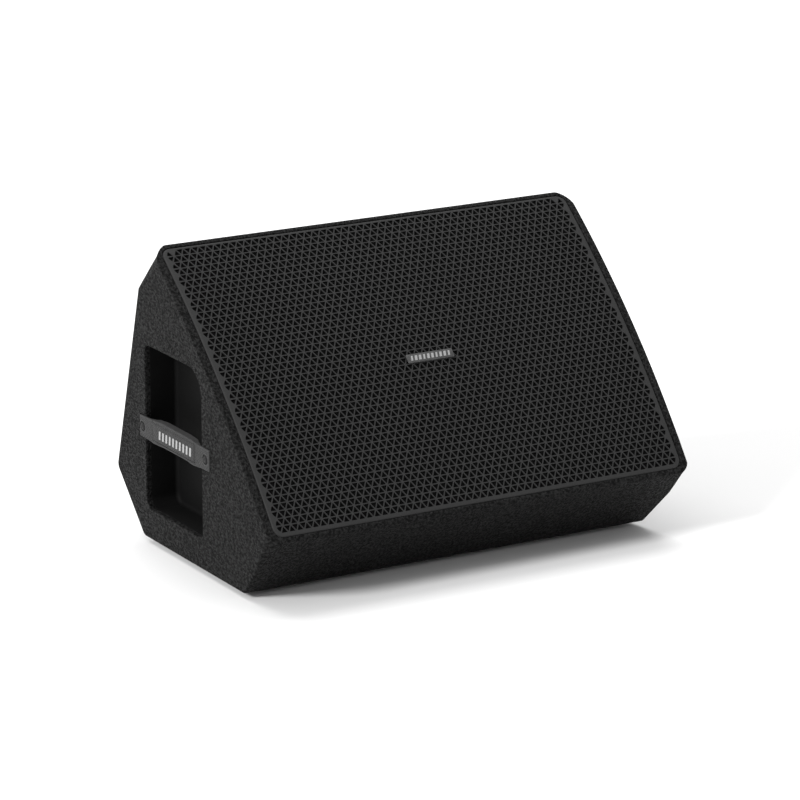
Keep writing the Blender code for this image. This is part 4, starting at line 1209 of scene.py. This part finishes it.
def make_foot(word, place, x):
    """Turned rubber foot with a moulded groove and a recessed screw."""
    low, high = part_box("rubber_foot_%s_%s" % (place, word))
    centre = Matrix.Translation(((low.x + high.x) / 2.0, (low.y + high.y) / 2.0, 0.0))
    profile = (
        (0.0, 0.0022), (0.0052, 0.0022), (0.0058, 0.0004), (0.0064, 0.0), (0.0128, 0.0), (0.0140, 0.0004),
        (0.0147, 0.0012), (0.0149, 0.0026), (0.0145, 0.0030), (0.0145, 0.0034), (0.0149, 0.0038),
        (0.0150, FOOT_HEIGHT - GAP), (0.0, FOOT_HEIGHT - GAP),
    )
    piece = new_piece("foot_%s_%s" % (place, word), turned(profile, 48, centre), FOOT)
    keep(piece, "foot_rubber", "rubber_foot_%s_%s" % (place, word))
    washer = turned((
        (0.0, 0.0012), (0.0012, 0.0010), (0.0030, 0.0014), (0.0036, 0.0019), (0.0036, 0.0024), (0.0, 0.0024),
    ), 24, centre)
    keep(new_piece("foot_screw_%s_%s" % (place, word), washer, BLACK_STEEL), "screw_steel")


# ---- soft parts inside the cabinet
WOOFER = BAFFLE @ Matrix.Translation((-0.085, -0.004, -0.022))


def make_surround():
    """Half-roll rubber surround with a flat lip on each side, at the height of the basket's rim."""
    skin = 0.0008
    base = 0.0053
    roll_in, roll_out = 0.1185, 0.1335
    middle = (roll_in + roll_out) / 2.0
    radius = (roll_out - roll_in) / 2.0
    rise = 0.0060
    rim = 0.1398
    steps = 12
    upper, lower = [(roll_in - 0.0060, base + skin)], [(roll_in - 0.0060, base)]
    for step in range(steps + 1):
        angle = math.pi * step / steps
        across = middle - radius * math.cos(angle)
        upper.append((across, base + skin + rise * math.sin(angle)))
        lower.append((across, base + rise * math.sin(angle)))
    upper.append((rim, base + skin))
    lower.append((rim, base))
    material = moulded_plastic("surround_rubber", 0.012)
    piece = new_piece("surround_roll", turned(upper + lower[::-1], 96, WOOFER), material)
    keep(piece, "surround_rubber", "woofer_surround")


def make_spider():
    """Corrugated cloth disc that centres the voice coil."""
    skin = 0.0006
    level = -0.0476
    upper = [(0.0387, level)]
    steps = 64
    waves, height = 5.0, 0.0011
    for step in range(steps + 1):
        share = step / steps
        across = 0.0410 + (0.0860 - 0.0410) * share
        upper.append((across, level + height * (1.0 - math.cos(share * waves * 2.0 * math.pi))))
    upper.append((0.1013, level))
    lower = [(across, z + skin) for across, z in upper]
    piece = new_piece("spider_disc", turned(upper + lower[::-1], 72, WOOFER), resin_cloth())
    keep(piece, "spider_cloth", "woofer_spider")


WADDING_START = 0.1515          # up the back panel from its lower edge
WADDING_LENGTH = 0.0770
WADDING_WIDTH = 0.337


def make_wadding():
    """Lumpy fibre pad fixed to the inside of the back panel."""
    inwards = (-BACK_UP[1], BACK_UP[0])
    rows, columns, layers = 26, 90, 6
    mesh_data = bmesh.new()
    grid = {}
    for layer in range(layers + 1):
        for row in range(rows + 1):
            for column in range(columns + 1):
                if 0 < layer < layers and 0 < row < rows and 0 < column < columns:
                    continue
                u, v, w = row / rows, column / columns, layer / layers
                pinch = min(1.0, 6.0 * min(u, 1.0 - u), 16.0 * min(v, 1.0 - v))
                crown = math.sqrt(max(pinch * (2.0 - pinch), 0.0))
                lump = noise.fractal(Vector((v * 14.0, u * 4.0, w * 1.5)), 1.0, 2.0, 4)
                thick = 0.006 + 0.0115 * crown + 0.0016 * lump * crown
                along = WADDING_START + WADDING_LENGTH * u + 0.0008 * noise.noise(Vector((v * 20.0, w * 4.0, 3.0)))
                deep = PANEL + 0.0006 + thick * w
                point = (
                    HEEL[0] + BACK_UP[0] * along + inwards[0] * deep,
                    HEEL[1] + BACK_UP[1] * along + inwards[1] * deep,
                )
                x = -WADDING_WIDTH / 2.0 + WADDING_WIDTH * v + 0.0010 * noise.noise(Vector((u * 9.0, w * 4.0, 7.0)))
                grid[layer, row, column] = mesh_data.verts.new(world(x, point))

    def skin(first_count, second_count, key):
        """Quads over one side of the block, where key turns two counters into a place in the grid."""
        for a in range(first_count):
            for b in range(second_count):
                corners = (key(a, b), key(a, b + 1), key(a + 1, b + 1), key(a + 1, b))
                mesh_data.faces.new([grid[corner] for corner in corners])

    for layer in (0, layers):
        skin(rows, columns, lambda a, b: (layer, a, b))
    for row in (0, rows):
        skin(layers, columns, lambda a, b: (a, row, b))
    for column in (0, columns):
        skin(layers, rows, lambda a, b: (a, b, column))
    piece = new_piece("wadding_pad", mesh_data, polyester_wadding(), 60.0)
    keep(piece, "wadding", "damping_wadding")


# ---- materials of the carried-over CAD nodes
def finish_cad_nodes():
    wire = copper_wire()
    paper = speckled(
        "paper_pulp", ((0.016, 0.016, 0.018), (0.034, 0.034, 0.036)), (900.0, 5.0, 0.75), (0.75, 0.92), 0.0003,
        (90.0, 3.0), Specular_IOR_Level=0.2,
    )
    wood = speckled(
        "birch_plywood", ((0.33, 0.22, 0.12), (0.56, 0.42, 0.26)), (420.0, 3.0, 0.6, (0.12, 1.0, 1.0)),
        (0.6, 0.78), 0.0002, (28.0, 5.0, 0.6, (1.0, 9.0, 9.0)), (0.3, 0.7),
    )
    film = speckled(
        "capacitor_film", ((0.52, 0.36, 0.05), (0.70, 0.52, 0.12)), (60.0, 3.0, 0.5, (12.0, 1.0, 1.0)),
        (0.2, 0.35), 0.0001,
    )
    ferrite = speckled(
        "ferrite", ((0.035, 0.034, 0.033), (0.085, 0.083, 0.080)), (700.0, 5.0, 0.7), (0.5, 0.7), 0.0002,
    )
    aluminium = speckled(
        "formed_aluminium", ((0.60, 0.60, 0.62), (0.76, 0.76, 0.77)), (300.0, 3.0), (0.22, 0.36), 0.00005,
        Metallic=1.0,
    )
    amber = speckled("amber_film", ((0.30, 0.16, 0.05), (0.44, 0.27, 0.11)), (500.0, 2.0), (0.2, 0.32), 0.00005)
    cement = speckled(
        "white_cement", ((0.55, 0.54, 0.50), (0.80, 0.79, 0.75)), (600.0, 5.0, 0.7), (0.75, 0.95), 0.0004,
    )
    horn_plastic = moulded_plastic("horn_plastic", 0.012, (0.35, 0.5))
    finishes = {
        "baffle_board": wood, "baffle_cleat_top": wood, "baffle_cleat_bottom": wood,
        "woofer_basket": BLACK_STEEL, "woofer_cone": paper, "woofer_dust_cap": paper,
        "woofer_voice_coil": wire, "woofer_top_plate": BARE_STEEL, "woofer_pole_plate": BARE_STEEL,
        "woofer_magnet": ferrite, "woofer_gasket": rubber("gasket_foam", 0.016, 0.0004), "horn": horn_plastic,
        "driver_body": BLACK_STEEL, "driver_back_cover": horn_plastic, "driver_diaphragm": aluminium,
        "diaphragm_suspension": amber, "port_tube_1": horn_plastic, "port_tube_2": horn_plastic,
        "crossover_board": circuit_laminate(), "inductor_low": wire, "inductor_high": wire,
        "capacitor_low": film, "capacitor_high": film, "padding_resistor": cement,
    }
    for number in range(1, 9):
        finishes["woofer_screw_%d" % number] = BLACK_STEEL
    for name, finish in finishes.items():
        mesh = NODES[name].data
        mesh.materials.clear()
        mesh.materials.append(finish)
        mesh.shade_smooth()
        mesh.set_sharp_from_angle(angle=math.radians(35.0))


# ---- stage, light and camera
def sun_light(name, towards, strength, size):
    """Distant soft light that shines from the direction towards; size is its width in degrees."""
    data = bpy.data.lights.new(name, "SUN")
    data.energy = strength
    data.angle = math.radians(size)
    lamp = bpy.data.objects.new(name, data)
    bpy.context.collection.objects.link(lamp)
    lamp.rotation_euler = Vector(towards).to_track_quat("Z", "Y").to_euler()


FLOOR_HALF_SIZE = 14.0
SKY_STRENGTH = 0.65
LENS = 207.56
EYE = world(-2.759, (-4.217, 1.4967))
AIM = world(-0.035, (0.049, 0.1787))


def make_stage():
    mesh_data = bmesh.new()
    size = FLOOR_HALF_SIZE
    corners = rectangle(-size, size, -size, size)
    mesh_data.faces.new([mesh_data.verts.new((x, y, 0.0)) for x, y in corners])
    n = Nodes("pale_floor")
    n.set(Base_Color=n.mix(n.noise(3.0, 2.0), grey(0.80), grey(0.82)), Roughness=0.9, Specular_IOR_Level=0.0)
    new_piece("floor", mesh_data, n.made)

    world_light = bpy.data.worlds.new("studio")
    bpy.context.scene.world = world_light
    world_light.use_nodes = True
    background = world_light.node_tree.nodes["Background"]
    background.inputs["Color"].default_value = (1.0, 1.0, 1.0, 1.0)
    background.inputs["Strength"].default_value = SKY_STRENGTH

    sun_light("key", (-0.85, -0.16, 0.50), 3.0, 14.0)
    sun_light("back_top", (0.1, 0.5, 0.86), 2.2, 60.0)
    bpy.context.scene.view_settings.view_transform = "Standard"


def make_camera():
    data = bpy.data.cameras.new("camera")
    data.sensor_width = 36.0
    data.lens = LENS
    data.clip_start = 0.05
    data.clip_end = 100.0
    camera = bpy.data.objects.new("camera", data)
    bpy.context.collection.objects.link(camera)
    camera.location = EYE
    camera.rotation_euler = (AIM - EYE).to_track_quat("-Z", "Y").to_euler()
    bpy.context.scene.camera = camera


make_shell()
for side_word, side_sign in (("left", -1.0), ("right", 1.0)):
    make_pocket(side_word, side_sign)
    make_strap(side_word, side_sign)
    make_strap_mark(side_word, side_sign)
    for screw_place in STRAP_SCREWS:
        make_handle_screw(side_word, side_sign, screw_place)
    for foot_place in ("front", "rear"):
        make_foot(side_word, foot_place, side_sign)
make_grille()
make_foam()
make_badge()
make_input_plate()
for socket_number, socket_x in enumerate(SOCKET_X, 1):
    make_socket(socket_number, socket_x)
make_surround()
make_spider()
make_wadding()
finish_cad_nodes()
make_stage()
make_camera()
